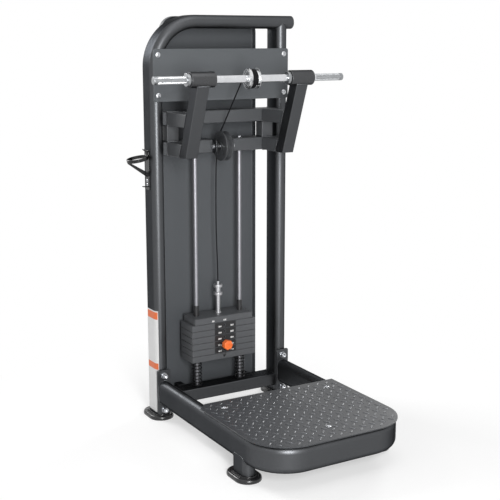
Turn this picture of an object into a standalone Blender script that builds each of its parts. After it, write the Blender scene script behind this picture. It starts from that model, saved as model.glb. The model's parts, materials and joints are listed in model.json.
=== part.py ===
"""Standing wrist exercise machine: a turned bar winds up a cable that lifts a weight stack.

Metres, +Z up. X runs across the machine and +Y points to its rear. Heights are above the
floor. Lengths along Y are measured from the middle of the two uprights, and one empty at
the end shifts the whole machine, so that its bounding box is centred on the origin.
"""
import math

import bmesh
import bpy
from mathutils import Vector

# Clearance between pieces that touch
GAP = 0.0003

# Flat-oval frame tube
TUBE_WIDTH = 0.050
TUBE_DEPTH = 0.100
TUBE_WALL = 0.003
FRAME_WIDTH = 0.600
FRAME_HEIGHT = 1.570
BEND_RADIUS = 0.170
BEAM_OVERHANG = 0.022
CAP_DOME = 0.005
CAP_ROUND = 0.006
CAP_EDGE = 0.001
CAP_PLUG = 0.015

# Base rail, its flanges and posts
RAIL_TOP = 0.160
RAIL_REACH = 0.893
RAIL_CORNER = 0.130
FLANGE_THICKNESS = 0.008
FLANGE_WIDTH = 0.056
FLANGE_MARGIN = 0.044
FLANGE_CORNER = 0.006
POST_SETBACK = 0.001

# Rubber feet
FOOT_BORDER = 0.024
FOOT_HEIGHT = 0.020
FOOT_SOLE = 0.006
FOOT_CHAMFER = 0.004
FOOT_EDGE = 0.002

# Step plate and what it is screwed to
TREAD_THICKNESS = 0.004
TREAD_SIDE_OVERHANG = 0.003
TREAD_FRONT_OVERHANG = 0.007
TREAD_LENGTH = 0.5194
TREAD_CUT = 0.037
CROSS_TUBE_DEPTH = 0.030
CROSS_TUBE_HEIGHT = 0.050
CROSS_TUBE_INSET = 0.072
TAB_WIDTH = 0.060
TAB_LENGTH = 0.065
TAB_HEIGHT = 0.060
TAB_THICKNESS = 0.004

# Crossbars between the uprights
CROSSBAR_HEIGHT = 0.050
CROSSBAR_DEPTH = 0.075
CROSSBAR_WALL = 0.003
CROSSBEAM_TOP = 0.093
UPPER_CROSSBAR_DROP = 0.360
CROSSBAR_SPACING = 0.113

# Bar carrier: square tubes to both sides
ARM_SIZE = 0.050
ARM_WALL = 0.003
ARM_INSET = 0.015
ARM_LEAN = math.radians(20.55)

# Turned bar in its bearings
GRIP_FORWARD = 0.2738
GRIP_RISE = 0.128
GRIP_DIAMETER = 0.028
GRIP_LENGTH = 0.800
GRIP_END_LENGTH = 0.013
GRIP_GROOVE_WIDTH = 0.002
GRIP_GROOVE_DEPTH = 0.001
GRIP_CHAMFER = 0.002
SLEEVE_WALL = 0.005
HOUSING_WALL = 0.0087
HOUSING_LENGTH = 0.100
HOUSING_CHAMFER = 0.002
COLLAR_STEP = 0.004
COLLAR_LENGTH = 0.012
COLLAR_CHAMFER = 0.001

# Cable drum on the bar
CABLE_DIAMETER = 0.005
DRUM_PITCH_RADIUS = 0.033
DRUM_DISC_RADIUS = 0.039
DRUM_DISC_THICKNESS = 0.0055
DRUM_OPENING = 0.033
DRUM_CHAMFER = 0.001
WRAP_CLEARANCE = 0.0007
WINDING_TURNS = 3.5
WINDING_PITCH = 0.006
WINDING_BEND = 0.0035
WINDING_POINTS = 24

# Guide pulley
PULLEY_DROP = 0.0255
PULLEY_PITCH_RADIUS = 0.050
PULLEY_FLANGE = 0.0075
PULLEY_WIDTH = 0.031
PULLEY_WEB = 0.010
PULLEY_RIM = 0.012
PULLEY_HUB_RADIUS = 0.016
GROOVE_MOUTH = 0.009
AXLE_DIAMETER = 0.012
SPACER_WALL = 0.003
AXLE_HEAD_RADIUS = 0.010
AXLE_HEAD_LENGTH = 0.008
PULLEY_SIDE_ROOM = 0.0185
PULLEY_PLATE_THICKNESS = 0.006
PULLEY_PLATE_MARGIN = 0.018

# Weight stack
STACK_COUNT = 6
PINNED_PLATE = 4
STACK_WIDTH = 0.290
STACK_DEPTH = 0.105
PLATE_THICKNESS = 0.0255
PLATE_CORNER = 0.003
HEAD_WIDTH = 0.263
STACK_FLOOR = 0.206
ROD_SPACING = 0.200
ROD_DIAMETER = 0.018
ROD_STANDOUT = 0.003
ROD_CHAMFER = 0.002
ROD_CLEARANCE = 0.0004
PLATE_CLEARANCE = 0.001
GUIDE_SLEEVE_WALL = 0.0016
GUIDE_SLEEVE_STANDOUT = 0.0434

# Selector rod and its pin
SELECTOR_DIAMETER = 0.0185
SELECTOR_CLEARANCE = 0.0006
SELECTOR_FLANGE_RADIUS = 0.018
SELECTOR_FLANGE_THICKNESS = 0.012
SELECTOR_SEAT_RADIUS = 0.0135
SELECTOR_SEAT_THICKNESS = 0.006
SELECTOR_STEM = 0.070
SELECTOR_NECK_RADIUS = 0.0105
SELECTOR_NECK_LENGTH = 0.020
FERRULE_RADIUS = 0.006
FERRULE_LENGTH = 0.013
PIN_DIAMETER = 0.0095
PIN_CLEARANCE = 0.0006
PIN_TIP = 0.016
PIN_IN_KNOB = 0.018
KNOB_RADIUS = 0.0205
KNOB_LENGTH = 0.036
KNOB_NECK_RADIUS = 0.011
KNOB_NECK_LENGTH = 0.010
KNOB_STANDOFF = 0.002
KNOB_ROUND = 0.006
LANYARD_DIAMETER = 0.0025
LANYARD_SPACING = 0.00625

# Springs under the stack
SPRING_DIAMETER = 0.043
SPRING_WIRE = 0.0045
SPRING_TURNS = 8
SPRING_POINTS = 8

# Front panel
PANEL_INSET = 0.005
PANEL_HEIGHT = 0.1945
PANEL_RISE = 0.040
PANEL_THICKNESS = 0.003
PANEL_CORNER = 0.008

# Rear shroud
SHROUD_WIDTH = 0.420
SHROUD_DEPTH = 0.025
SHROUD_SHEET = 0.002
SHROUD_BOTTOM = 0.065
SHROUD_TOP_DROP = 0.004
SHROUD_CORNER = 0.060
SHROUD_EDGE = 0.004
SHROUD_CLEARANCE = 0.006
SHROUD_TAB_X = 0.150
SHROUD_TAB_WIDTH = 0.030
SHROUD_TAB_HEIGHT = 0.020

# Bottle holder on the left upright
HOLDER_DROP = 0.490
HOLDER_PLATE_HEIGHT = 0.165
HOLDER_PLATE_WIDTH = 0.034
HOLDER_PLATE_THICKNESS = 0.003
HOLDER_RING_RADIUS = 0.0415
HOLDER_RING_DROP = 0.038
HOLDER_DROOP = math.radians(16)
HOLDER_BAND_HEIGHT = 0.022
HOLDER_BAND_THICKNESS = 0.003
HOLDER_STRAP_WIDTH = 0.026
HOLDER_STRAP_BEND = 0.005
HOLDER_STRAP_RISE = 0.044

# Faceting of round shapes
NOSE_STEPS = 6
BEND_STEPS = 8
CORNER_STEPS = 3
PLATE_CORNER_STEPS = 2
SHROUD_CORNER_STEPS = 6
WIRE_BEND_STEPS = 3
WRAP_STEPS = 8
COIL_RESOLUTION = 1
CORD_RESOLUTION = 2
ROUND_SIDES = 24
ROD_SIDES = 16
BORE_SIDES = 12
DISC_SIDES = 28
PULLEY_SIDES = 30
SMOOTH_ANGLE = math.radians(32)
MERGE_DISTANCE = 1e-6

# Places worked out from the driving dimensions
UPRIGHT_X = (FRAME_WIDTH - TUBE_WIDTH) / 2
UPRIGHT_FRONT = -TUBE_DEPTH / 2
BEAM_Z = FRAME_HEIGHT - TUBE_WIDTH / 2
BEAM_END_X = FRAME_WIDTH / 2 + BEAM_OVERHANG
RAIL_Z = RAIL_TOP - TUBE_DEPTH / 2
RAIL_LINE_Y = -(RAIL_REACH - TUBE_WIDTH / 2)
RAIL_START_Y = UPRIGHT_FRONT - FLANGE_THICKNESS - 2 * GAP
POST_REACH = -RAIL_LINE_Y - RAIL_CORNER - TUBE_DEPTH / 2 - POST_SETBACK
TREAD_UNDERSIDE = RAIL_TOP + GAP
TREAD_FRONT = -(RAIL_REACH + TREAD_FRONT_OVERHANG)
TREAD_REAR = TREAD_FRONT + TREAD_LENGTH
TREAD_CORNER = RAIL_CORNER + TUBE_WIDTH / 2 + TREAD_SIDE_OVERHANG
UPPER_CROSSBAR_TOP = FRAME_HEIGHT - UPPER_CROSSBAR_DROP
LOWER_CROSSBAR_TOP = UPPER_CROSSBAR_TOP - CROSSBAR_SPACING
CROSSBAR_FRONT = -CROSSBAR_DEPTH / 2
ARM_X = FRAME_WIDTH / 2 - TUBE_WIDTH - ARM_INSET - ARM_SIZE / 2
ARM_SHEAR = -math.tan(ARM_LEAN)
ARM_DEPTH = ARM_SIZE / math.cos(ARM_LEAN)
GRIP_RADIUS = GRIP_DIAMETER / 2
GRIP_Y = -GRIP_FORWARD
GRIP_HEIGHT = UPPER_CROSSBAR_TOP + GRIP_RISE
SLEEVE_RADIUS = GRIP_RADIUS + GAP + SLEEVE_WALL
HOUSING_BORE = SLEEVE_RADIUS + GAP
HOUSING_RADIUS = HOUSING_BORE + HOUSING_WALL
CABLE_RADIUS = CABLE_DIAMETER / 2
PULLEY_Y = -PULLEY_PITCH_RADIUS
PULLEY_HEIGHT = LOWER_CROSSBAR_TOP - PULLEY_DROP
PULLEY_RADIUS = PULLEY_PITCH_RADIUS + PULLEY_FLANGE
PULLEY_PLATE_INNER = PULLEY_WIDTH / 2 + PULLEY_SIDE_ROOM
PULLEY_PLATE_OUTER = PULLEY_PLATE_INNER + PULLEY_PLATE_THICKNESS
AXLE_RADIUS = AXLE_DIAMETER / 2
SPACER_RADIUS = AXLE_RADIUS + SPACER_WALL
STACK_PITCH = PLATE_THICKNESS + GAP
HEAD_BOTTOM = STACK_FLOOR + STACK_COUNT * STACK_PITCH
HEAD_TOP = HEAD_BOTTOM + PLATE_THICKNESS
STACK_FRONT = -STACK_DEPTH / 2
ROD_X = ROD_SPACING / 2
ROD_RADIUS = ROD_DIAMETER / 2
GUIDE_SLEEVE_BORE = ROD_RADIUS + ROD_CLEARANCE
GUIDE_SLEEVE_RADIUS = GUIDE_SLEEVE_BORE + GUIDE_SLEEVE_WALL
SELECTOR_RADIUS = SELECTOR_DIAMETER / 2
SELECTOR_SEAT_Z = HEAD_TOP + GAP
SELECTOR_COLLAR_Z = SELECTOR_SEAT_Z + SELECTOR_SEAT_THICKNESS + SELECTOR_STEM
SELECTOR_NECK_Z = SELECTOR_COLLAR_Z + SELECTOR_FLANGE_THICKNESS
SELECTOR_HEAD_Z = SELECTOR_NECK_Z + SELECTOR_NECK_LENGTH
FERRULE_Z = SELECTOR_HEAD_Z + SELECTOR_FLANGE_THICKNESS
CABLE_FOOT_Z = FERRULE_Z + FERRULE_LENGTH + GAP
PIN_RADIUS = PIN_DIAMETER / 2
PANEL_WIDTH = FRAME_WIDTH - 2 * PANEL_INSET
PANEL_BOTTOM = UPPER_CROSSBAR_TOP + PANEL_RISE
HOLDER_PLATE_TOP = FRAME_HEIGHT - HOLDER_DROP
SHROUD_FRONT = TUBE_DEPTH / 2 + SHROUD_CLEARANCE
SHROUD_REAR = SHROUD_FRONT + SHROUD_DEPTH
SHROUD_TOP = FRAME_HEIGHT - SHROUD_TOP_DROP
MACHINE_Y = -(TREAD_FRONT + SHROUD_REAR) / 2

# Colour, roughness and metallic value of each finish
FINISHES = {
    "graphite_paint": ((0.075, 0.077, 0.082), 0.40, 0.55),
    "panel_paint": ((0.115, 0.118, 0.124), 0.45, 0.45),
    "black_paint": ((0.020, 0.020, 0.021), 0.40, 0.20),
    "chrome": ((0.72, 0.73, 0.74), 0.12, 1.00),
    "stack_steel": ((0.105, 0.106, 0.110), 0.45, 0.60),
    "tread_steel": ((0.110, 0.112, 0.118), 0.38, 0.70),
    "rubber": ((0.015, 0.015, 0.015), 0.30, 0.00),
    "black_plastic": ((0.020, 0.020, 0.020), 0.45, 0.00),
    "cable_jacket": ((0.012, 0.012, 0.012), 0.40, 0.00),
    "orange_plastic": ((0.90, 0.16, 0.03), 0.35, 0.00),
    "cord_fabric": ((0.012, 0.012, 0.012), 0.80, 0.00),
}


def clear_scene():
    """Remove every object that the file opened with."""
    for obj in list(bpy.data.objects):
        bpy.data.objects.remove(obj, do_unlink=True)


def make_finish(name):
    """Return the material for one finish, made once."""
    if name in bpy.data.materials:
        return bpy.data.materials[name]
    colour, roughness, metallic = FINISHES[name]
    material = bpy.data.materials.new(name)
    material.use_nodes = True
    shader = material.node_tree.nodes["Principled BSDF"]
    shader.inputs["Base Color"].default_value = (*colour, 1.0)
    shader.inputs["Roughness"].default_value = roughness
    shader.inputs["Metallic"].default_value = metallic
    return material


def add_empty(name, location, parent=None):
    """Add an empty that carries other pieces."""
    empty = bpy.data.objects.new(name, None)
    empty.location = location
    empty.parent = parent
    bpy.context.scene.collection.objects.link(empty)
    return empty


def add_object(name, data, finish, parent, location=(0, 0, 0), rotation=(0, 0, 0)):
    """Add one named piece under its carrier."""
    obj = bpy.data.objects.new(name, data)
    obj.location = location
    obj.rotation_euler = rotation
    obj.parent = parent
    if finish:
        data.materials.append(make_finish(finish))
    bpy.context.scene.collection.objects.link(obj)
    return obj


def as_cutter(obj):
    """Keep a cutting shape out of the finished machine."""
    obj.hide_render = True
    obj.display_type = "WIRE"
    return obj


def cut(target, cutter):
    """Cut one shape out of a piece."""
    modifier = target.modifiers.new("cut_" + cutter.name, "BOOLEAN")
    modifier.operation = "DIFFERENCE"
    modifier.object = cutter


def fuse(target, other):
    """Weld a helper shape to a piece."""
    modifier = target.modifiers.new("weld_" + other.name, "BOOLEAN")
    modifier.operation = "UNION"
    modifier.object = other
    as_cutter(other)


def mesh_from(bm, name):
    """Close a bmesh into a mesh with outward faces and smooth round sides."""
    bmesh.ops.remove_doubles(bm, verts=bm.verts, dist=MERGE_DISTANCE)
    bmesh.ops.recalc_face_normals(bm, faces=bm.faces)
    mesh = bpy.data.meshes.new(name)
    bm.to_mesh(mesh)
    bm.free()
    mesh.shade_smooth()
    mesh.set_sharp_from_angle(angle=SMOOTH_ANGLE)
    return mesh


def loft(name, rings, closed=False):
    """Join rings of equally many points. An open loft gets a cap at each end."""
    bm = bmesh.new()
    loops = [[bm.verts.new(point) for point in ring] for ring in rings]
    pairs = list(zip(loops, loops[1:]))
    if closed:
        pairs.append((loops[-1], loops[0]))
    count = len(loops[0])
    for low, high in pairs:
        for i in range(count):
            j = (i + 1) % count
            bm.faces.new((low[i], low[j], high[j], high[i]))
    if not closed:
        bm.faces.new(loops[0])
        bm.faces.new(loops[-1])
    return mesh_from(bm, name)


def turned(name, profile, sides, bored=False):
    """Spin a (radius, height) profile about local Z. A bored profile is a closed loop."""
    bm = bmesh.new()
    verts = [bm.verts.new((radius, 0.0, height)) for radius, height in profile]
    edges = [bm.edges.new(pair) for pair in zip(verts, verts[1:])]
    if bored:
        edges.append(bm.edges.new((verts[-1], verts[0])))
    bmesh.ops.spin(bm, geom=verts + edges, cent=(0, 0, 0), axis=(0, 0, 1),
                   angle=2 * math.pi, steps=sides, use_merge=True)
    return mesh_from(bm, name)


def ring_profile(bore, radius, low, high, chamfer):
    """Profile of a plain chamfered ring."""
    return [
        (bore, low),
        (radius - chamfer, low),
        (radius, low + chamfer),
        (radius, high - chamfer),
        (radius - chamfer, high),
        (bore, high),
    ]


def rod_profile(radius, low, high, chamfer):
    """Profile of a plain chamfered rod."""
    return [
        (0.0, low),
        (radius - chamfer, low),
        (radius, low + chamfer),
        (radius, high - chamfer),
        (radius - chamfer, high),
        (0.0, high),
    ]


def flat_oval(width, depth):
    """Outline of the frame tube: two straight sides and two round noses."""
    radius = width / 2
    straight = depth / 2 - radius
    points = []
    for side in (0, 1):
        for k in range(NOSE_STEPS + 1):
            angle = math.pi * (side + k / NOSE_STEPS)
            offset = straight if side == 0 else -straight
            points.append((radius * math.cos(angle), offset + radius * math.sin(angle)))
    return points


def rectangle(width, depth):
    """Outline of a square-cornered tube."""
    u = width / 2
    v = depth / 2
    return [(u, -v), (u, v), (-u, v), (-u, -v)]


def rounded_outline(left, right, low, high, radii, steps=CORNER_STEPS):
    """Rectangle with its own radius at low-right, high-right, high-left and low-left."""
    corners = ((right, low, -90, radii[0]), (right, high, 0, radii[1]),
               (left, high, 90, radii[2]), (left, low, 180, radii[3]))
    points = []
    for x, y, start, radius in corners:
        centre_x = x - math.copysign(radius, x - (left + right) / 2)
        centre_y = y - math.copysign(radius, y - (low + high) / 2)
        for k in range(steps + 1):
            angle = math.radians(start + 90 * k / steps)
            points.append((centre_x + radius * math.cos(angle), centre_y + radius * math.sin(angle)))
    return points


def place_ring(outline, point, tangent, side):
    """Set an outline square to a path. Its second direction follows side."""
    across = Vector(side).cross(Vector(tangent)).normalized()
    return [Vector(point) + across * u + Vector(side) * v for u, v in outline]


def hollow_tube(name, path, side, outer, inner):
    """Tube with open ends along a path of (point, tangent) pairs."""
    outside = [place_ring(outer, point, tangent, side) for point, tangent in path]
    inside = [place_ring(inner, point, tangent, side) for point, tangent in path]
    return loft(name, outside + inside[::-1], closed=True)


def solid_bar(name, path, side, outline):
    """Solid of one outline along a path of (point, tangent) pairs."""
    return loft(name, [place_ring(outline, point, tangent, side) for point, tangent in path])


def box(name, low, high):
    """Plain block between two corners."""
    plan = [(low[0], low[1]), (high[0], low[1]), (high[0], high[1]), (low[0], high[1])]
    return loft(name, [[(x, y, z) for x, y in plan] for z in (low[2], high[2])])


def cylinder(name, radius, start, end, sides, parent):
    """Cutting cylinder between two points."""
    axis = Vector(end) - Vector(start)
    mesh = turned(name, [(0, 0), (radius, 0), (radius, axis.length), (0, axis.length)], sides)
    turn = Vector((0, 0, 1)).rotation_difference(axis.normalized()).to_euler()
    return as_cutter(add_object(name, mesh, None, parent, start, turn))


def tube_curve(name, points, diameter, resolution, finish, parent):
    """Cable or wire along points, with flat ends."""
    curve = bpy.data.curves.new(name, "CURVE")
    curve.dimensions = "3D"
    curve.bevel_depth = diameter / 2
    curve.bevel_resolution = resolution
    curve.use_fill_caps = True
    spline = curve.splines.new("POLY")
    spline.points.add(len(points) - 1)
    for target, point in zip(spline.points, points):
        target.co = (*point, 1.0)
    return add_object(name, curve, finish, parent)


def least_gap(points, diameter, turn_length):
    """Smallest space between parts of a wire that lie at least half a turn apart."""
    travel = [0.0]
    for a, b in zip(points, points[1:]):
        travel.append(travel[-1] + (b - a).length)
    least = math.inf
    for i, a in enumerate(points):
        for j in range(i + 1, len(points)):
            if travel[j] - travel[i] > turn_length / 2:
                least = min(least, (points[j] - a).length)
    return least - diameter


def smooth_route(points, spacing):
    """Read a smooth curve through the route's own points at an even spacing."""
    ends = [2 * points[0] - points[1], *points, 2 * points[-1] - points[-2]]
    fine = []
    for before, start, end, after in zip(ends, ends[1:], ends[2:], ends[3:]):
        steps = max(1, round((end - start).length / spacing))
        for k in range(steps):
            t = k / steps
            fine.append(0.5 * (2 * start + (end - before) * t
                               + (2 * before - 5 * start + 4 * end - after) * t * t
                               + (3 * start - before - 3 * end + after) * t ** 3))
    fine.append(points[-1])
    return fine


def upright_path(low, high, x):
    """Straight vertical path of a frame tube."""
    return [((x, 0, low), (0, 0, 1)), ((x, 0, high), (0, 0, 1))]


def tube_outlines():
    """Outer and inner outline of the flat-oval tube."""
    outer = flat_oval(TUBE_WIDTH, TUBE_DEPTH)
    inner = flat_oval(TUBE_WIDTH - 2 * TUBE_WALL, TUBE_DEPTH - 2 * TUBE_WALL)
    return outer, inner


def build_uprights(machine):
    """Left upright bent into the top beam, coped right upright and the beam's cap."""
    outer, inner = tube_outlines()
    tube_foot = FOOT_SOLE + GAP
    path = [((-UPRIGHT_X, 0, tube_foot), (0, 0, 1))]
    for k in range(BEND_STEPS + 1):
        angle = math.pi - math.pi / 2 * k / BEND_STEPS
        point = (-UPRIGHT_X + BEND_RADIUS * (1 + math.cos(angle)), 0,
                 BEAM_Z - BEND_RADIUS * (1 - math.sin(angle)))
        path.append((point, (math.sin(angle), 0, -math.cos(angle))))
    path.append(((BEAM_END_X, 0, BEAM_Z), (1, 0, 0)))
    mesh = hollow_tube("main_tube", path, (0, 1, 0), outer, inner)
    add_object("main_tube", mesh, "graphite_paint", machine)

    path = upright_path(tube_foot, BEAM_Z, UPRIGHT_X)
    mesh = hollow_tube("right_upright", path, (0, 1, 0), outer, inner)
    upright = add_object("right_upright", mesh, "graphite_paint", machine)
    beam = [((UPRIGHT_X - TUBE_WIDTH, 0, BEAM_Z), (1, 0, 0)),
            ((UPRIGHT_X + TUBE_WIDTH, 0, BEAM_Z), (1, 0, 0))]
    outline = flat_oval(TUBE_WIDTH + 2 * GAP, TUBE_DEPTH + 2 * GAP)
    mesh = solid_bar("beam_cope", beam, (0, 1, 0), outline)
    cut(upright, as_cutter(add_object("beam_cope", mesh, None, machine)))

    stations = ((-CAP_PLUG, TUBE_WALL + GAP), (GAP, TUBE_WALL + GAP), (GAP, 0.0),
                (CAP_DOME / 2, CAP_EDGE), (CAP_DOME, CAP_ROUND))
    rings = []
    for along, inset in stations:
        outline = flat_oval(TUBE_WIDTH - 2 * inset, TUBE_DEPTH - 2 * inset)
        rings.append(place_ring(outline, (BEAM_END_X + along, 0, BEAM_Z), (1, 0, 0), (0, 1, 0)))
    add_object("beam_end_cap", loft("beam_end_cap", rings), "black_plastic", machine)


def build_base(machine):
    """U-bent base rail on edge, its flanges, the front posts and the feet."""
    outer, inner = tube_outlines()
    path = [((UPRIGHT_X, RAIL_START_Y, RAIL_Z), (0, -1, 0))]
    for side in (1, -1):
        centre_x = side * (UPRIGHT_X - RAIL_CORNER)
        start = 0.0 if side == 1 else -math.pi / 2
        for k in range(BEND_STEPS + 1):
            angle = start - math.pi / 2 * k / BEND_STEPS
            point = (centre_x + RAIL_CORNER * math.cos(angle),
                     RAIL_LINE_Y + RAIL_CORNER * (1 + math.sin(angle)), RAIL_Z)
            path.append((point, (math.sin(angle), -math.cos(angle), 0)))
    path.append(((-UPRIGHT_X, RAIL_START_Y, RAIL_Z), (0, 1, 0)))
    mesh = hollow_tube("base_rail", path, (0, 0, 1), outer, inner)
    add_object("base_rail", mesh, "graphite_paint", machine)

    for side, name in ((-1, "left"), (1, "right")):
        x = side * UPRIGHT_X
        outline = rounded_outline(x - FLANGE_WIDTH / 2, x + FLANGE_WIDTH / 2,
                                  FOOT_HEIGHT + FLANGE_CORNER / 2, RAIL_TOP + FLANGE_MARGIN,
                                  [FLANGE_CORNER] * 4)
        rear = UPRIGHT_FRONT - GAP
        rings = [[(u, y, v) for u, v in outline] for y in (rear - FLANGE_THICKNESS, rear)]
        add_object("rail_flange_" + name, loft("rail_flange", rings), "graphite_paint", machine)

        path = [((x, -POST_REACH, FOOT_SOLE + GAP), (0, 0, 1)), ((x, -POST_REACH, RAIL_Z), (0, 0, 1))]
        mesh = hollow_tube("front_post", path, (0, 1, 0), outer, inner)
        post = add_object("front_post_" + name, mesh, "graphite_paint", machine)
        rail = [((x, -POST_REACH + TUBE_DEPTH, RAIL_Z), (0, -1, 0)),
                ((x, -POST_REACH - TUBE_DEPTH, RAIL_Z), (0, -1, 0))]
        outline = flat_oval(TUBE_WIDTH + 2 * GAP, TUBE_DEPTH + 2 * GAP)
        mesh = solid_bar("rail_cope_" + name, rail, (0, 0, 1), outline)
        cut(post, as_cutter(add_object("rail_cope_" + name, mesh, None, machine)))

        add_foot("foot_rear_" + name, x, 0.0, machine)
        add_foot("foot_front_" + name, x, -POST_REACH, machine)


def add_foot(name, x, y, machine):
    """Rubber boot with a recess that the tube stands in."""
    stations = ((GAP, FOOT_SOLE), (GAP, FOOT_HEIGHT), (FOOT_BORDER - 2 * FOOT_CHAMFER, FOOT_HEIGHT),
                (FOOT_BORDER, FOOT_HEIGHT - FOOT_CHAMFER), (FOOT_BORDER, FOOT_EDGE),
                (FOOT_BORDER - FOOT_EDGE, 0.0))
    rings = []
    for border, z in stations:
        outline = flat_oval(TUBE_WIDTH + 2 * border, TUBE_DEPTH + 2 * border)
        rings.append([(x + u, y + v, z) for u, v in outline])
    add_object(name, loft(name, rings), "rubber", machine)


def build_step(machine):
    """Step plate, and the cross tube and tab that it is screwed to."""
    side = FRAME_WIDTH / 2 + TREAD_SIDE_OVERHANG
    centre_x = side - TREAD_CORNER
    centre_y = TREAD_FRONT + TREAD_CORNER
    outline = []
    for k in range(2 * BEND_STEPS + 2):
        right = k > BEND_STEPS
        turn = k - 1 if right else k
        angle = math.pi + math.pi / 2 * turn / BEND_STEPS
        x = centre_x if right else -centre_x
        outline.append((x + TREAD_CORNER * math.cos(angle), centre_y + TREAD_CORNER * math.sin(angle)))
    outline.append((side, TREAD_REAR))
    outline.append((TREAD_CUT - side, TREAD_REAR))
    outline.append((-side, TREAD_REAR - TREAD_CUT))
    top = TREAD_UNDERSIDE + TREAD_THICKNESS
    rings = [[(x, y, z) for x, y in outline] for z in (TREAD_UNDERSIDE, top)]
    add_object("tread_plate", loft("tread_plate", rings), "tread_steel", machine)

    half = UPRIGHT_X - TUBE_WIDTH / 2 - GAP
    y = TREAD_REAR - CROSS_TUBE_INSET
    path = [((-half, y, RAIL_TOP - CROSS_TUBE_HEIGHT / 2), (1, 0, 0)),
            ((half, y, RAIL_TOP - CROSS_TUBE_HEIGHT / 2), (1, 0, 0))]
    outer = rectangle(CROSS_TUBE_HEIGHT, CROSS_TUBE_DEPTH)
    inner = rectangle(CROSS_TUBE_HEIGHT - 2 * TUBE_WALL, CROSS_TUBE_DEPTH - 2 * TUBE_WALL)
    mesh = hollow_tube("plate_cross_tube", path, (0, 1, 0), outer, inner)
    add_object("plate_cross_tube", mesh, "graphite_paint", machine)

    back = RAIL_LINE_Y + TUBE_WIDTH / 2 + GAP
    web = back + TAB_THICKNESS
    bottom = RAIL_TOP - TAB_HEIGHT
    shelf = RAIL_TOP - TAB_THICKNESS
    profile = [(back, RAIL_TOP), (back, bottom), (web, bottom), (web, shelf),
               (back + TAB_LENGTH, shelf), (back + TAB_LENGTH, RAIL_TOP)]
    rings = [[(x, y, z) for y, z in profile] for x in (-TAB_WIDTH / 2, TAB_WIDTH / 2)]
    add_object("plate_front_tab", loft("plate_front_tab", rings), "graphite_paint", machine)


def build_crossbars(machine):
    """Tubes between the uprights, coped to them, with the guide rods' holes."""
    outline = flat_oval(TUBE_WIDTH + 2 * GAP, TUBE_DEPTH + 2 * GAP)
    copes = []
    for x in (-UPRIGHT_X, UPRIGHT_X):
        name = "upright_cope_left" if x < 0 else "upright_cope_right"
        mesh = solid_bar(name, upright_path(-TUBE_DEPTH, FRAME_HEIGHT, x), (0, 1, 0), outline)
        copes.append(as_cutter(add_object(name, mesh, None, machine)))
    rod_holes = []
    for x in (-ROD_X, ROD_X):
        name = "rod_hole_left" if x < 0 else "rod_hole_right"
        start = (x, 0, CROSSBEAM_TOP - CROSSBAR_HEIGHT / 2)
        end = (x, 0, LOWER_CROSSBAR_TOP + CROSSBAR_HEIGHT / 2)
        rod_holes.append(cylinder(name, ROD_RADIUS + GAP, start, end, ROD_SIDES, machine))

    bars = (("lower_crossbeam", -UPRIGHT_X, UPRIGHT_X, CROSSBEAM_TOP, copes + rod_holes),
            ("upper_crossbar", -UPRIGHT_X, UPRIGHT_X, UPPER_CROSSBAR_TOP, copes),
            ("lower_crossbar_left", -UPRIGHT_X, -PULLEY_PLATE_OUTER - GAP, LOWER_CROSSBAR_TOP,
             [copes[0], rod_holes[0]]),
            ("lower_crossbar_right", PULLEY_PLATE_OUTER + GAP, UPRIGHT_X, LOWER_CROSSBAR_TOP,
             [copes[1], rod_holes[1]]))
    outer = rectangle(CROSSBAR_HEIGHT, CROSSBAR_DEPTH)
    inner = rectangle(CROSSBAR_HEIGHT - 2 * CROSSBAR_WALL, CROSSBAR_DEPTH - 2 * CROSSBAR_WALL)
    for name, left, right, top, cutters in bars:
        z = top - CROSSBAR_HEIGHT / 2
        path = [((left, 0, z), (1, 0, 0)), ((right, 0, z), (1, 0, 0))]
        mesh = hollow_tube(name, path, (0, 1, 0), outer, inner)
        bar = add_object(name, mesh, "graphite_paint", machine)
        for cutter in cutters:
            cut(bar, cutter)


def arm_rear(z):
    """Y of the leaning arm's rear face at a height."""
    return GRIP_Y + ARM_DEPTH / 2 + ARM_SHEAR * (z - GRIP_HEIGHT)


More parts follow.
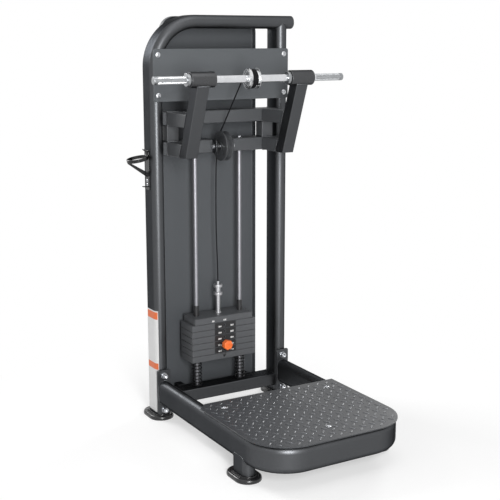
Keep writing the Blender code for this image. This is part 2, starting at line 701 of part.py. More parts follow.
def build_carrier(machine):
    """Yoke posts, wings, leaning arms and bearing housings, left and right."""
    lower_bottom = LOWER_CROSSBAR_TOP - CROSSBAR_HEIGHT
    upper_bottom = UPPER_CROSSBAR_TOP - CROSSBAR_HEIGHT
    for side, name in ((-1, "left"), (1, "right")):
        x = side * ARM_X
        low_x = x - ARM_SIZE / 2
        high_x = x + ARM_SIZE / 2
        y = CROSSBAR_FRONT + ARM_SIZE / 2
        path = [((x, y, LOWER_CROSSBAR_TOP + GAP), (0, 0, 1)),
                ((x, y, upper_bottom - GAP), (0, 0, 1))]
        square = rectangle(ARM_SIZE, ARM_SIZE)
        bore = rectangle(ARM_SIZE - 2 * ARM_WALL, ARM_SIZE - 2 * ARM_WALL)
        mesh = hollow_tube("yoke_post", path, (0, 1, 0), square, bore)
        add_object("yoke_post_" + name, mesh, "graphite_paint", machine)

        for label, bottom in (("upper", upper_bottom), ("lower", lower_bottom)):
            rings = []
            for wall in (0.0, ARM_WALL):
                corners = [(low_x + wall, bottom + wall), (high_x - wall, bottom + wall),
                           (high_x - wall, bottom + CROSSBAR_HEIGHT - wall),
                           (low_x + wall, bottom + CROSSBAR_HEIGHT - wall)]
                back = [(u, CROSSBAR_FRONT - GAP, v) for u, v in corners]
                front = [(u, arm_rear(v) + GAP, v) for u, v in corners]
                rings += [back, front] if wall == 0.0 else [front, back]
            mesh = loft("wing", rings, closed=True)
            add_object(label + "_wing_" + name, mesh, "graphite_paint", machine)

        rings = []
        for wall in (0.0, ARM_WALL):
            slanted_wall = wall / math.cos(ARM_LEAN)
            pair = []
            for z in (lower_bottom, GRIP_HEIGHT):
                rear = arm_rear(z) - slanted_wall
                front = arm_rear(z) - ARM_DEPTH + slanted_wall
                pair.append([(low_x + wall, front, z), (high_x - wall, front, z),
                             (high_x - wall, rear, z), (low_x + wall, rear, z)])
            rings += pair if wall == 0.0 else pair[::-1]
        arm = add_object("arm_" + name, loft("arm", rings, closed=True), "graphite_paint", machine)
        half = HOUSING_LENGTH / 2
        saddle = cylinder("arm_saddle_" + name, HOUSING_RADIUS + GAP, (x - half, GRIP_Y, GRIP_HEIGHT),
                          (x + half, GRIP_Y, GRIP_HEIGHT), DISC_SIDES, machine)
        cut(arm, saddle)

        profile = ring_profile(HOUSING_BORE, HOUSING_RADIUS, -half, half, HOUSING_CHAMFER)
        mesh = turned("bearing_housing", profile, DISC_SIDES, bored=True)
        add_object("bearing_housing_" + name, mesh, "black_paint", machine, (x, GRIP_Y, GRIP_HEIGHT),
                   (0, math.pi / 2, 0))


def build_bar(machine):
    """Bar with its bearing sleeves and cable drum, about the bar's axis."""
    axis = add_empty("bar_axis", (0, GRIP_Y, GRIP_HEIGHT), machine)
    along_x = (0, math.pi / 2, 0)
    half = GRIP_LENGTH / 2
    groove = half - GRIP_END_LENGTH
    waist = GRIP_RADIUS - GRIP_GROOVE_DEPTH
    right = [(GRIP_RADIUS, groove - GRIP_GROOVE_WIDTH), (waist, groove - GRIP_GROOVE_WIDTH),
             (waist, groove), (GRIP_RADIUS, groove), (GRIP_RADIUS, half - GRIP_CHAMFER),
             (GRIP_RADIUS - GRIP_CHAMFER, half), (0.0, half)]
    left = [(radius, -height) for radius, height in reversed(right)]
    mesh = turned("grip_bar", left + right, ROUND_SIDES)
    add_object("grip_bar", mesh, "chrome", axis, (0, 0, 0), along_x)

    bore = GRIP_RADIUS + GAP
    sleeve_end = HOUSING_LENGTH / 2
    collar = -sleeve_end - GAP
    collar_end = collar - COLLAR_LENGTH
    collar_radius = SLEEVE_RADIUS + COLLAR_STEP
    profile = [(bore, collar_end), (collar_radius - COLLAR_CHAMFER, collar_end),
               (collar_radius, collar_end + COLLAR_CHAMFER), (collar_radius, collar),
               (SLEEVE_RADIUS, collar), (SLEEVE_RADIUS, sleeve_end), (bore, sleeve_end)]
    for x, name in ((-ARM_X, "left"), (ARM_X, "right")):
        mesh = turned("bearing_sleeve", profile, ROUND_SIDES, bored=True)
        add_object("bearing_sleeve_" + name, mesh, "chrome", axis, (x, 0, 0), along_x)

    inner = DRUM_OPENING / 2
    outer = inner + DRUM_DISC_THICKNESS
    core = DRUM_PITCH_RADIUS - CABLE_RADIUS - WRAP_CLEARANCE
    rim = DRUM_DISC_RADIUS
    right = [(core, inner), (rim - DRUM_CHAMFER, inner), (rim, inner + DRUM_CHAMFER),
             (rim, outer - DRUM_CHAMFER), (rim - DRUM_CHAMFER, outer), (bore, outer)]
    left = [(radius, -height) for radius, height in reversed(right)]
    mesh = turned("cable_drum", left + right, DISC_SIDES, bored=True)
    add_object("cable_drum", mesh, "chrome", axis, (0, 0, 0), along_x)


def build_pulley(machine):
    """Guide pulley on its axle, between two plates at the crossbar's split."""
    along_x = (0, math.pi / 2, 0)
    centre = (0, PULLEY_Y, PULLEY_HEIGHT)
    reach = PULLEY_PLATE_OUTER + AXLE_HEAD_LENGTH
    hole = cylinder("axle_hole", AXLE_RADIUS + GAP, (-reach, PULLEY_Y, PULLEY_HEIGHT),
                    (reach, PULLEY_Y, PULLEY_HEIGHT), BORE_SIDES, machine)
    bottom = LOWER_CROSSBAR_TOP - CROSSBAR_HEIGHT
    for side, name in ((-1, "left"), (1, "right")):
        faces = sorted((side * PULLEY_PLATE_INNER, side * PULLEY_PLATE_OUTER))
        front = PULLEY_Y - PULLEY_PLATE_MARGIN
        mesh = box("pulley_plate", (faces[0], front, bottom),
                   (faces[1], CROSSBAR_DEPTH / 2, LOWER_CROSSBAR_TOP))
        cut(add_object("pulley_plate_" + name, mesh, "graphite_paint", machine), hole)

    spacer = PULLEY_WIDTH / 2 + 2 * GAP
    plate = PULLEY_PLATE_INNER - GAP
    face = PULLEY_PLATE_OUTER + GAP
    end = face + AXLE_HEAD_LENGTH
    right = [(AXLE_RADIUS, spacer), (SPACER_RADIUS, spacer), (SPACER_RADIUS, plate),
             (AXLE_RADIUS, plate), (AXLE_RADIUS, face), (AXLE_HEAD_RADIUS, face),
             (AXLE_HEAD_RADIUS, end), (0.0, end)]
    left = [(radius, -height) for radius, height in reversed(right)]
    mesh = turned("pulley_axle", left + right, BORE_SIDES)
    add_object("pulley_axle", mesh, "chrome", machine, centre, along_x)

    axis = add_empty("pulley_axis", centre, machine)
    half = PULLEY_WIDTH / 2
    root = PULLEY_PITCH_RADIUS - CABLE_RADIUS - GAP
    seat = CABLE_RADIUS + 2 * GAP
    web = PULLEY_WEB / 2
    rim_inner = PULLEY_RADIUS - PULLEY_RIM - PULLEY_FLANGE
    right = [(root, CABLE_RADIUS / 2), (PULLEY_PITCH_RADIUS - GAP, seat), (PULLEY_RADIUS, GROOVE_MOUTH),
             (PULLEY_RADIUS, half), (rim_inner, half), (rim_inner, web), (PULLEY_HUB_RADIUS, web),
             (PULLEY_HUB_RADIUS, half), (AXLE_RADIUS + GAP, half)]
    left = [(radius, -height) for radius, height in reversed(right)]
    mesh = turned("guide_pulley", left + right, PULLEY_SIDES, bored=True)
    add_object("guide_pulley", mesh, "black_plastic", axis, (0, 0, 0), along_x)


def cable_tangents():
    """Points where the cable leaves the pulley and meets the drum, and its wrap angle."""
    pulley = Vector((0, PULLEY_Y, PULLEY_HEIGHT))
    drum = Vector((0, GRIP_Y, GRIP_HEIGHT))
    line = drum - pulley
    along = line.normalized()
    outward = Vector((0, along.z, -along.y))
    share = (PULLEY_PITCH_RADIUS - DRUM_PITCH_RADIUS) / line.length
    normal = along * share + outward * math.sqrt(1 - share * share)
    start_x = DRUM_OPENING / 2 - CABLE_RADIUS
    leave = pulley + normal * PULLEY_PITCH_RADIUS
    meet = drum + normal * DRUM_PITCH_RADIUS - Vector((start_x, 0, 0))
    return leave, meet, math.atan2(normal.z, normal.y)


def build_cable(machine):
    """Winding on the drum, the run over the guide pulley and the run to the stack.

    The three keep the cable's path in space, along which the real cable slides.
    """
    leave, meet, angle = cable_tangents()
    run = (meet - leave).normalized()
    lead = meet - run * CABLE_DIAMETER

    drum = Vector((0, GRIP_Y, GRIP_HEIGHT))
    points = [lead]
    count = round(WINDING_TURNS * WINDING_POINTS)
    turn = angle
    for k in range(count + 1):
        turn = angle + 2 * math.pi * k / WINDING_POINTS
        x = meet.x + WINDING_PITCH * k / WINDING_POINTS
        points.append(Vector((x, drum.y + DRUM_PITCH_RADIUS * math.cos(turn),
                              drum.z + DRUM_PITCH_RADIUS * math.sin(turn))))
    last = points[-1]
    for k in range(1, WIRE_BEND_STEPS + 1):
        bend = math.pi / 2 * k / WIRE_BEND_STEPS
        ahead = turn + WINDING_BEND * math.sin(bend) / DRUM_PITCH_RADIUS
        points.append(Vector((last.x + WINDING_BEND * (1 - math.cos(bend)),
                              drum.y + DRUM_PITCH_RADIUS * math.cos(ahead),
                              drum.z + DRUM_PITCH_RADIUS * math.sin(ahead))))
    points.append(Vector((DRUM_OPENING / 2 - GAP, points[-1].y, points[-1].z)))
    gap = least_gap(points, CABLE_DIAMETER, 2 * math.pi * DRUM_PITCH_RADIUS)
    print("winding: least gap between turns", round(gap * 1000, 2), "mm")
    tube_curve("drum_winding", points, CABLE_DIAMETER, COIL_RESOLUTION, "cable_jacket", machine)

    points = [lead - run * GAP, (meet + leave) / 2, leave]
    for k in range(1, WRAP_STEPS + 1):
        turn = angle * (1 - k / WRAP_STEPS)
        points.append(Vector((0, PULLEY_Y + PULLEY_PITCH_RADIUS * math.cos(turn),
                              PULLEY_HEIGHT + PULLEY_PITCH_RADIUS * math.sin(turn))))
    points[-1].z += GAP
    tube_curve("cable_upper", points, CABLE_DIAMETER, CORD_RESOLUTION, "cable_jacket", machine)

    points = [Vector((0, 0, PULLEY_HEIGHT)), Vector((0, 0, CABLE_FOOT_Z))]
    tube_curve("cable_lower", points, CABLE_DIAMETER, CORD_RESOLUTION, "cable_jacket", machine)


def build_guides(machine):
    """Guide rods and the springs that the stack rests on."""
    for side, name in ((-1, "left"), (1, "right")):
        x = side * ROD_X
        foot = CROSSBEAM_TOP - CROSSBAR_HEIGHT + CROSSBAR_WALL + GAP
        profile = rod_profile(ROD_RADIUS, foot, LOWER_CROSSBAR_TOP + ROD_STANDOUT, ROD_CHAMFER)
        mesh = turned("guide_rod", profile, ROD_SIDES)
        add_object("guide_rod_" + name, mesh, "chrome", machine, (x, 0, 0))

        points = spring_points()
        gap = least_gap(points, SPRING_WIRE, math.pi * SPRING_DIAMETER)
        print("spring", name, "least gap between turns", round(gap * 1000, 2), "mm")
        spring = tube_curve("spring_" + name, points, SPRING_WIRE, COIL_RESOLUTION, "black_paint",
                            machine)
        spring.location.x = x


def spring_points():
    """Wire of one spring: upright ends one wire thick, a small bend and even turns."""
    radius = (SPRING_DIAMETER - SPRING_WIRE) / 2
    low = CROSSBEAM_TOP + GAP
    high = STACK_FLOOR - GAP
    bend = SPRING_WIRE
    start = low + SPRING_WIRE
    end = high - SPRING_WIRE
    rise = end - start - 2 * bend
    stations = [(0.0, low), (0.0, start)]
    for k in range(1, WIRE_BEND_STEPS + 1):
        turn = math.pi / 2 * k / WIRE_BEND_STEPS
        stations.append((bend * (1 - math.cos(turn)) / radius, start + bend * math.sin(turn)))
    first = bend / radius
    count = SPRING_TURNS * SPRING_POINTS
    for k in range(1, count):
        stations.append((first + 2 * math.pi * k / SPRING_POINTS, start + bend + rise * k / count))
    last = 2 * first + 2 * math.pi * SPRING_TURNS
    for k in range(WIRE_BEND_STEPS, 0, -1):
        turn = math.pi / 2 * k / WIRE_BEND_STEPS
        stations.append((last - bend * (1 - math.cos(turn)) / radius, end - bend * math.sin(turn)))
    stations += [(last, end), (last, high)]
    return [Vector((radius * math.cos(turn), radius * math.sin(turn), z)) for turn, z in stations]


def build_stack(machine):
    """Plates, head plate, sleeves and selector rod. Plates above the pin rise with the rod."""
    lifted = add_empty("lifted_stack", (0, 0, 0), machine)
    top = HEAD_TOP + GUIDE_SLEEVE_STANDOUT
    below = STACK_FLOOR - PLATE_THICKNESS
    plate_bores = [cylinder("plate_bore_left", ROD_RADIUS + PLATE_CLEARANCE, (-ROD_X, 0, below),
                            (-ROD_X, 0, HEAD_BOTTOM - GAP / 2), BORE_SIDES, machine),
                   cylinder("plate_bore_right", ROD_RADIUS + PLATE_CLEARANCE, (ROD_X, 0, below),
                            (ROD_X, 0, HEAD_BOTTOM - GAP / 2), BORE_SIDES, machine)]
    head_bores = [cylinder("head_bore_left", GUIDE_SLEEVE_RADIUS + GAP, (-ROD_X, 0, HEAD_BOTTOM - GAP / 2),
                           (-ROD_X, 0, top), ROD_SIDES, machine),
                  cylinder("head_bore_right", GUIDE_SLEEVE_RADIUS + GAP, (ROD_X, 0, HEAD_BOTTOM - GAP / 2),
                           (ROD_X, 0, top), ROD_SIDES, machine)]
    selector_bore = cylinder("selector_bore", SELECTOR_RADIUS + SELECTOR_CLEARANCE, (0, 0, below),
                             (0, 0, top), ROD_SIDES, machine)

    pin_heights = [HEAD_BOTTOM - number * STACK_PITCH + PLATE_THICKNESS / 2
                   for number in range(1, STACK_COUNT + 1)]
    pin_holes = [cylinder("pin_hole_" + str(k + 1), PIN_RADIUS + PIN_CLEARANCE, (0, -STACK_DEPTH, z),
                          (0, PIN_TIP + PIN_CLEARANCE, z), BORE_SIDES, machine)
                 for k, z in enumerate(pin_heights)]

    plan = rounded_outline(-STACK_WIDTH / 2, STACK_WIDTH / 2, -STACK_DEPTH / 2, STACK_DEPTH / 2,
                           [PLATE_CORNER] * 4, PLATE_CORNER_STEPS)
    for number in range(1, STACK_COUNT + 1):
        low = HEAD_BOTTOM - number * STACK_PITCH
        rings = [[(x, y, z) for x, y in plan] for z in (low, low + PLATE_THICKNESS)]
        carrier = lifted if number <= PINNED_PLATE else machine
        name = "weight_plate_" + str(number)
        plate = add_object(name, loft(name, rings), "stack_steel", carrier)
        for cutter in (*plate_bores, selector_bore, pin_holes[number - 1]):
            cut(plate, cutter)

    plan = rounded_outline(-HEAD_WIDTH / 2, HEAD_WIDTH / 2, -STACK_DEPTH / 2, STACK_DEPTH / 2,
                           [PLATE_CORNER] * 4, PLATE_CORNER_STEPS)
    rings = [[(x, y, z) for x, y in plan] for z in (HEAD_BOTTOM, HEAD_TOP)]
    head = add_object("head_plate", loft("head_plate", rings), "stack_steel", lifted)
    for cutter in (*head_bores, selector_bore):
        cut(head, cutter)

    profile = ring_profile(GUIDE_SLEEVE_BORE, GUIDE_SLEEVE_RADIUS, HEAD_BOTTOM, top, GAP)
    for x, name in ((-ROD_X, "left"), (ROD_X, "right")):
        mesh = turned("guide_sleeve", profile, ROD_SIDES, bored=True)
        add_object("guide_sleeve_" + name, mesh, "black_plastic", lifted, (x, 0, 0))

    profile = [(0.0, STACK_FLOOR), (SELECTOR_RADIUS - ROD_CHAMFER, STACK_FLOOR),
               (SELECTOR_RADIUS, STACK_FLOOR + ROD_CHAMFER), (SELECTOR_RADIUS, SELECTOR_SEAT_Z),
               (SELECTOR_SEAT_RADIUS, SELECTOR_SEAT_Z),
               (SELECTOR_SEAT_RADIUS, SELECTOR_SEAT_Z + SELECTOR_SEAT_THICKNESS),
               (SELECTOR_RADIUS, SELECTOR_SEAT_Z + SELECTOR_SEAT_THICKNESS),
               (SELECTOR_RADIUS, SELECTOR_COLLAR_Z), (SELECTOR_FLANGE_RADIUS, SELECTOR_COLLAR_Z),
               (SELECTOR_FLANGE_RADIUS, SELECTOR_NECK_Z), (SELECTOR_NECK_RADIUS, SELECTOR_NECK_Z),
               (SELECTOR_NECK_RADIUS, SELECTOR_HEAD_Z), (SELECTOR_FLANGE_RADIUS, SELECTOR_HEAD_Z),
               (SELECTOR_FLANGE_RADIUS, FERRULE_Z), (FERRULE_RADIUS, FERRULE_Z),
               (FERRULE_RADIUS, FERRULE_Z + FERRULE_LENGTH), (0.0, FERRULE_Z + FERRULE_LENGTH)]
    rod = add_object("selector_rod", turned("selector_rod", profile, ROD_SIDES), "chrome", lifted)
    for cutter in pin_holes:
        cut(rod, cutter)
    return lifted, pin_heights[PINNED_PLATE - 1]


def build_pin(lifted, height):
    """Selector pin with its knob and lanyard. Local Z of the turned pieces points forward."""
    axis = add_empty("pin_axis", (0, 0, height), lifted)
    forward = (math.pi / 2, 0, 0)
    back = -STACK_FRONT + KNOB_STANDOFF
    knob_bore = PIN_RADIUS + GAP
    profile = rod_profile(PIN_RADIUS, -PIN_TIP, back + PIN_IN_KNOB - GAP, GAP)
    mesh = turned("selector_pin", profile, BORE_SIDES)
    add_object("selector_pin", mesh, "chrome", axis, (0, 0, 0), forward)

    shoulder = back + KNOB_NECK_LENGTH
    front = back + KNOB_LENGTH
    profile = [(0.0, back + PIN_IN_KNOB), (knob_bore, back + PIN_IN_KNOB), (knob_bore, back),
               (KNOB_NECK_RADIUS, back), (KNOB_NECK_RADIUS, shoulder)]
    for edge, start in ((shoulder + KNOB_ROUND, -math.pi / 2), (front - KNOB_ROUND, 0.0)):
        for k in range(CORNER_STEPS + 1):
            turn = start + math.pi / 2 * k / CORNER_STEPS
            radius = KNOB_RADIUS - KNOB_ROUND * (1 - math.cos(turn))
            profile.append((radius, edge + KNOB_ROUND * math.sin(turn)))
    profile.append((0.0, front))
    mesh = turned("selector_knob", profile, ROUND_SIDES)
    add_object("selector_knob", mesh, "orange_plastic", axis, (0, 0, 0), forward)

    route = [Vector(point) for point in (
        (-0.0114, -0.0590, 0.0000), (-0.0165, -0.0590, -0.0002), (-0.0225, -0.0588, -0.0025),
        (-0.0265, -0.0586, -0.0105), (-0.0262, -0.0586, -0.0215), (-0.0195, -0.0600, -0.0345),
        (-0.0105, -0.0630, -0.0425), (-0.0030, -0.0645, -0.0440), (0.0018, -0.0635, -0.0395),
        (0.0022, -0.0615, -0.0290), (0.0010, -0.0595, -0.0185), (0.0000, -0.0590, -0.0114))]
    tube_curve("pin_lanyard", smooth_route(route, LANYARD_SPACING), LANYARD_DIAMETER, CORD_RESOLUTION,
               "cord_fabric", axis)


def build_covers(machine):
    """Front panel and rear shroud."""
    half = PANEL_WIDTH / 2
    outline = rounded_outline(-half, half, PANEL_BOTTOM, PANEL_BOTTOM + PANEL_HEIGHT, [PANEL_CORNER] * 4)
    rear = UPRIGHT_FRONT - GAP
    rings = [[(x, y, z) for x, z in outline] for y in (rear - PANEL_THICKNESS, rear)]
    add_object("name_panel", loft("name_panel", rings), "panel_paint", machine)

    sheet = SHROUD_SHEET
    stations = ((SHROUD_EDGE + sheet, SHROUD_REAR - sheet), (sheet, SHROUD_REAR - SHROUD_EDGE),
                (sheet, SHROUD_FRONT), (0.0, SHROUD_FRONT), (0.0, SHROUD_REAR - SHROUD_EDGE),
                (SHROUD_EDGE, SHROUD_REAR))
    rings = []
    for inset, y in stations:
        top = SHROUD_CORNER - inset
        bottom = SHROUD_EDGE + 2 * sheet - inset / 2
        side = SHROUD_WIDTH / 2 - inset
        outline = rounded_outline(-side, side, SHROUD_BOTTOM + inset, SHROUD_TOP - inset,
                                  (bottom, top, top, bottom), SHROUD_CORNER_STEPS)
        rings.append([(x, y, z) for x, z in outline])
    shroud = add_object("rear_shroud", loft("rear_shroud", rings), "panel_paint", machine)
    front = CROSSBAR_DEPTH / 2 + GAP
    for z in (CROSSBEAM_TOP - SHROUD_TAB_HEIGHT, UPPER_CROSSBAR_TOP - CROSSBAR_HEIGHT / 2):
        for x in (-SHROUD_TAB_X, SHROUD_TAB_X):
            name = "shroud_tab_" + str(round(x * 1000)) + "_" + str(round(z * 1000))
            low = (x - SHROUD_TAB_WIDTH / 2, front, z)
            high = (x + SHROUD_TAB_WIDTH / 2, SHROUD_REAR - sheet / 2, z + SHROUD_TAB_HEIGHT)
            fuse(shroud, add_object(name, box(name, low, high), None, machine))


def build_bottle_holder(machine):
    """Back plate on the left upright, drooping ring for the bottle and the strap under it."""
    face = -FRAME_WIDTH / 2 - GAP
    half = HOLDER_PLATE_WIDTH / 2
    bottom = HOLDER_PLATE_TOP - HOLDER_PLATE_HEIGHT
    mesh = box("bottle_holder", (face - HOLDER_PLATE_THICKNESS, -half, bottom),
               (face, half, HOLDER_PLATE_TOP))
    holder = add_object("bottle_holder", mesh, "black_paint", machine)

    droop = Vector((-math.cos(HOLDER_DROOP), 0, -math.sin(HOLDER_DROOP)))
    band = HOLDER_BAND_HEIGHT / 2
    weld = face - HOLDER_PLATE_THICKNESS / 4
    root = Vector((weld - band * math.sin(HOLDER_DROOP), 0, HOLDER_PLATE_TOP - HOLDER_RING_DROP))
    centre = root + droop * HOLDER_RING_RADIUS
    inner = HOLDER_RING_RADIUS - HOLDER_BAND_THICKNESS
    profile = [(inner, -band), (HOLDER_RING_RADIUS, -band), (HOLDER_RING_RADIUS, band), (inner, band)]
    mesh = turned("holder_ring", profile, ROUND_SIDES, bored=True)
    fuse(holder, add_object("holder_ring", mesh, None, machine, centre, (0, -HOLDER_DROOP, 0)))

    end = root + droop * (2 * HOLDER_RING_RADIUS - HOLDER_BAND_THICKNESS / 2)
    heel = end + Vector((0, 0, -band - HOLDER_STRAP_BEND))
    foot = Vector((weld, 0, bottom + HOLDER_STRAP_RISE))
    slope = (foot - heel).normalized()
    path = [(end, (0, 0, -1)), (end + Vector((0, 0, -band)), (0, 0, -1)),
            (heel + slope * HOLDER_STRAP_BEND, slope), (foot, slope)]
    mesh = solid_bar("holder_strap", path, (0, 1, 0),
                     rectangle(HOLDER_BAND_THICKNESS, HOLDER_STRAP_WIDTH))
    fuse(holder, add_object("holder_strap", mesh, None, machine))


def build_machine():
    """Build every piece under one empty that centres the machine."""
    clear_scene()
    machine = add_empty("machine", (0, MACHINE_Y, 0))
    build_uprights(machine)
    build_base(machine)
    build_step(machine)
    build_crossbars(machine)
    build_carrier(machine)
    build_bar(machine)
    build_pulley(machine)
    build_cable(machine)
    build_guides(machine)
    lifted, pin_height = build_stack(machine)
    build_pin(lifted, pin_height)
    build_covers(machine)
    build_bottle_holder(machine)


build_machine()
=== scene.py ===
import json
import logging
import math
from dataclasses import dataclass, field
from enum import Enum
from typing import Callable, Iterable, Sequence

import bmesh
import bpy
from mathutils import Matrix, Vector


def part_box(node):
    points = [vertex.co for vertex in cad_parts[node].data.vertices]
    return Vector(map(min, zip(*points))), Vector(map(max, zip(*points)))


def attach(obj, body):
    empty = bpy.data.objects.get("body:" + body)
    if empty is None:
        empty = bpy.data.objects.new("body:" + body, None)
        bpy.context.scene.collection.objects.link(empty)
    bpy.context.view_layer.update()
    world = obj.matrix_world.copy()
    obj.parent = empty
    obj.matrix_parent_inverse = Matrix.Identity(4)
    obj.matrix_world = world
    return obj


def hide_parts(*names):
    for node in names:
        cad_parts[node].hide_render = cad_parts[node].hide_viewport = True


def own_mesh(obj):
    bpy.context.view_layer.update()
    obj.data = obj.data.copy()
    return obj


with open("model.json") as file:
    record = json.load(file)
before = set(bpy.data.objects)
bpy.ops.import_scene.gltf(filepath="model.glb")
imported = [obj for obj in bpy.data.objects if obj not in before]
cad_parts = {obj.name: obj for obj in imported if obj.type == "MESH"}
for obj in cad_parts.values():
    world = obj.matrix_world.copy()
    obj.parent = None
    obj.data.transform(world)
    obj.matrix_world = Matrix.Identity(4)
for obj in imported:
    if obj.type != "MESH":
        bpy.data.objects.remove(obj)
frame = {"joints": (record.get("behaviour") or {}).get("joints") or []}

LOG = logging.getLogger("machine")
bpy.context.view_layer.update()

Pair = tuple[float, float]
Triple = tuple[float, float, float]
Outline = list[Pair]
Ring = list[Vector]
Station = tuple[Vector, Vector]
Piece = bpy.types.Object
Socket = bpy.types.NodeSocket

UP, RIGHT, FORWARD, BACK = Vector((0, 0, 1)), Vector((1, 0, 0)), Vector((0, -1, 0)), Vector((0, 1, 0))
SHARP = math.radians(32)
MERGE = 1e-6
EDGE_STEPS = 3
HEAD_SEED = 7


class Body(Enum):
    """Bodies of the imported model."""

    FRAME = "frame"
    STACK = "lifted_stack"
    BAR = "bar"
    PULLEY = "pulley"
    PIN = "pin"


class Slot(Enum):
    """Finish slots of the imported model."""

    GRAPHITE = "graphite_paint"
    PANEL = "panel_paint"
    BLACK = "black_paint"
    CHROME = "chrome"
    STACK = "stack_steel"
    TREAD = "tread_steel"
    RUBBER = "rubber"
    PLASTIC = "black_plastic"
    CABLE = "cable_jacket"
    ORANGE = "orange_plastic"
    CORD = "cord_fabric"


class Side(Enum):
    """Left and right of the machine, seen by its user."""

    LEFT = -1
    RIGHT = 1

    @property
    def word(self) -> str:
        """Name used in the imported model's nodes."""
        return self.name.lower()


def feed_node(tree: bpy.types.NodeTree, node: bpy.types.Node, sources: dict[str, object]) -> None:
    """Set a node's properties, and set or link its inputs.

    Args:
        tree: tree that holds the node.
        node: node to feed.
        sources: value of a property by its own name in lower case, and value or socket of an input by
            its name with underscores for spaces, or by i and its index.
    """
    for key, source in sources.items():
        by_index = key[1:].isdigit()
        if key[0].islower() and not by_index:
            setattr(node, key, source)
            continue
        target = node.inputs[int(key[1:]) if by_index else key.replace("_", " ")]
        if isinstance(source, Socket):
            tree.links.new(source, target)
        else:
            target.default_value = source


def add_node(tree: bpy.types.NodeTree, kind: str, **sources: object) -> bpy.types.Node:
    """Add a node to a tree.

    Args:
        tree: tree to add to.
        kind: type of the node.
        sources: what feed_node takes, properties first.

    Returns:
        The node.
    """
    node = tree.nodes.new(kind)
    feed_node(tree, node, sources)
    return node


class Graph:
    """Node graph of one material, read in the object's own metres."""

    def __init__(self, label: str) -> None:
        """Start a material with its shader and its place in space.

        Args:
            label: name of the material.
        """
        self.material = bpy.data.materials.new(label)
        self.material.use_nodes = True
        self.tree = self.material.node_tree
        self.shader = self.tree.nodes["Principled BSDF"]
        self.place = self.out("TexCoord", "Object")

    def out(self, kind: str, output: str, **sources: object) -> Socket:
        """Add a shader node and read one output."""
        return add_node(self.tree, "ShaderNode" + kind, **sources).outputs[output]

    def stretched(self, scale: Triple, turn: Triple = (0, 0, 0)) -> Socket:
        """Object coordinates scaled along each axis and turned in radians."""
        return self.out("Mapping", "Vector", Scale=scale, Rotation=turn, Vector=self.place)

    def noise(self, scale: float, detail: float = 2.0, place: Socket | None = None) -> Socket:
        """Noise between 0 and 1, with its cells in a metre and its octaves."""
        return self.out("TexNoise", "Fac", Scale=scale, Detail=detail, Vector=place or self.place)

    def cells(self, scale: float) -> Socket:
        """Distance to the nearest cell centre, with the cells in a metre."""
        return self.out("TexVoronoi", "Distance", Scale=scale, Vector=self.place)

    def waves(self, scale: float, place: Socket) -> Socket:
        """Regular bands that follow each other upwards."""
        return self.out("TexWave", "Fac", bands_direction="Z", Scale=scale, Vector=place)

    def ramp(self, source: Socket, *stops: tuple[float, Triple]) -> Socket:
        """Colours chosen by a value.

        Args:
            source: value between 0 and 1.
            stops: place and colour of each stop.

        Returns:
            The colour.
        """
        node = add_node(self.tree, "ShaderNodeValToRGB", Fac=source)
        marks = node.color_ramp.elements
        while len(marks) < len(stops):
            marks.new(1.0)
        for mark, (at, colour) in zip(marks, stops):
            mark.position = at
            mark.color = (*colour, 1.0)
        return node.outputs["Color"]

    def span(self, source: Socket, low: float, high: float) -> Socket:
        """The middle of a noise stretched to a range."""
        return self.out("MapRange", "Result", Value=source, From_Min=0.3, From_Max=0.7, To_Min=low, To_Max=high)

    def bump(self, height: Socket, distance: float, **under: Socket) -> Socket:
        """Fine relief with its depth in metres, laid on another one that is given as Normal."""
        return self.out("Bump", "Normal", Height=height, Distance=distance, **under)

    def feed(self, **sources: object) -> None:
        """Set or link the shader's inputs, named with underscores for spaces."""
        feed_node(self.tree, self.shader, sources)


def shade(colour: Triple, factor: float) -> Triple:
    """Colour made lighter or darker by a factor."""
    return tuple(min(1.0, part * factor) for part in colour)


@dataclass(frozen=True)
class Finish:
    """Colour and gloss of one surface, with the slot that it belongs to."""

    label: str
    slot: Slot
    colour: Triple
    roughness: float

    def material(self) -> bpy.types.Material:
        """Material of this finish, made once.

        Returns:
            The material.
        """
        name = "dressed_" + self.label
        found = bpy.data.materials.get(name)
        if found:
            return found
        graph = Graph(name)
        self.dress(graph)
        return graph.material

    def dress(self, graph: Graph) -> None:
        """Lay the finish on a graph."""
        raise NotImplementedError(graph)


@dataclass(frozen=True)
class PowderCoat(Finish):
    """Baked paint with a fine orange peel and a dark metallic fleck."""

    metallic: float = 0.0
    gloss: float = 0.4
    edge: float = 1.0
    fleck: float = 0.35
    fleck_scale: float = 2600.0
    fleck_depth: float = 0.00003
    peel_scale: float = 420.0
    peel_depth: float = 0.00012

    def dress(self, graph: Graph) -> None:
        """Lay the paint on a graph.

        Args:
            graph: graph to fill.
        """
        grain = graph.noise(self.fleck_scale, 3.0)
        peel = graph.bump(graph.noise(self.peel_scale), self.peel_depth)
        low, high = (shade(self.colour, 1.0 + sign * self.fleck) for sign in (-1, 1))
        graph.feed(Base_Color=graph.ramp(grain, (0.35, low), (0.5, self.colour), (0.68, high)),
                   Roughness=graph.span(graph.noise(9.0, 4.0), self.roughness - 0.05, self.roughness + 0.06),
                   Normal=graph.bump(grain, self.fleck_depth, Normal=peel), Metallic=self.metallic,
                   Specular_IOR_Level=self.gloss, Specular_Tint=(self.edge, self.edge, self.edge, 1.0))


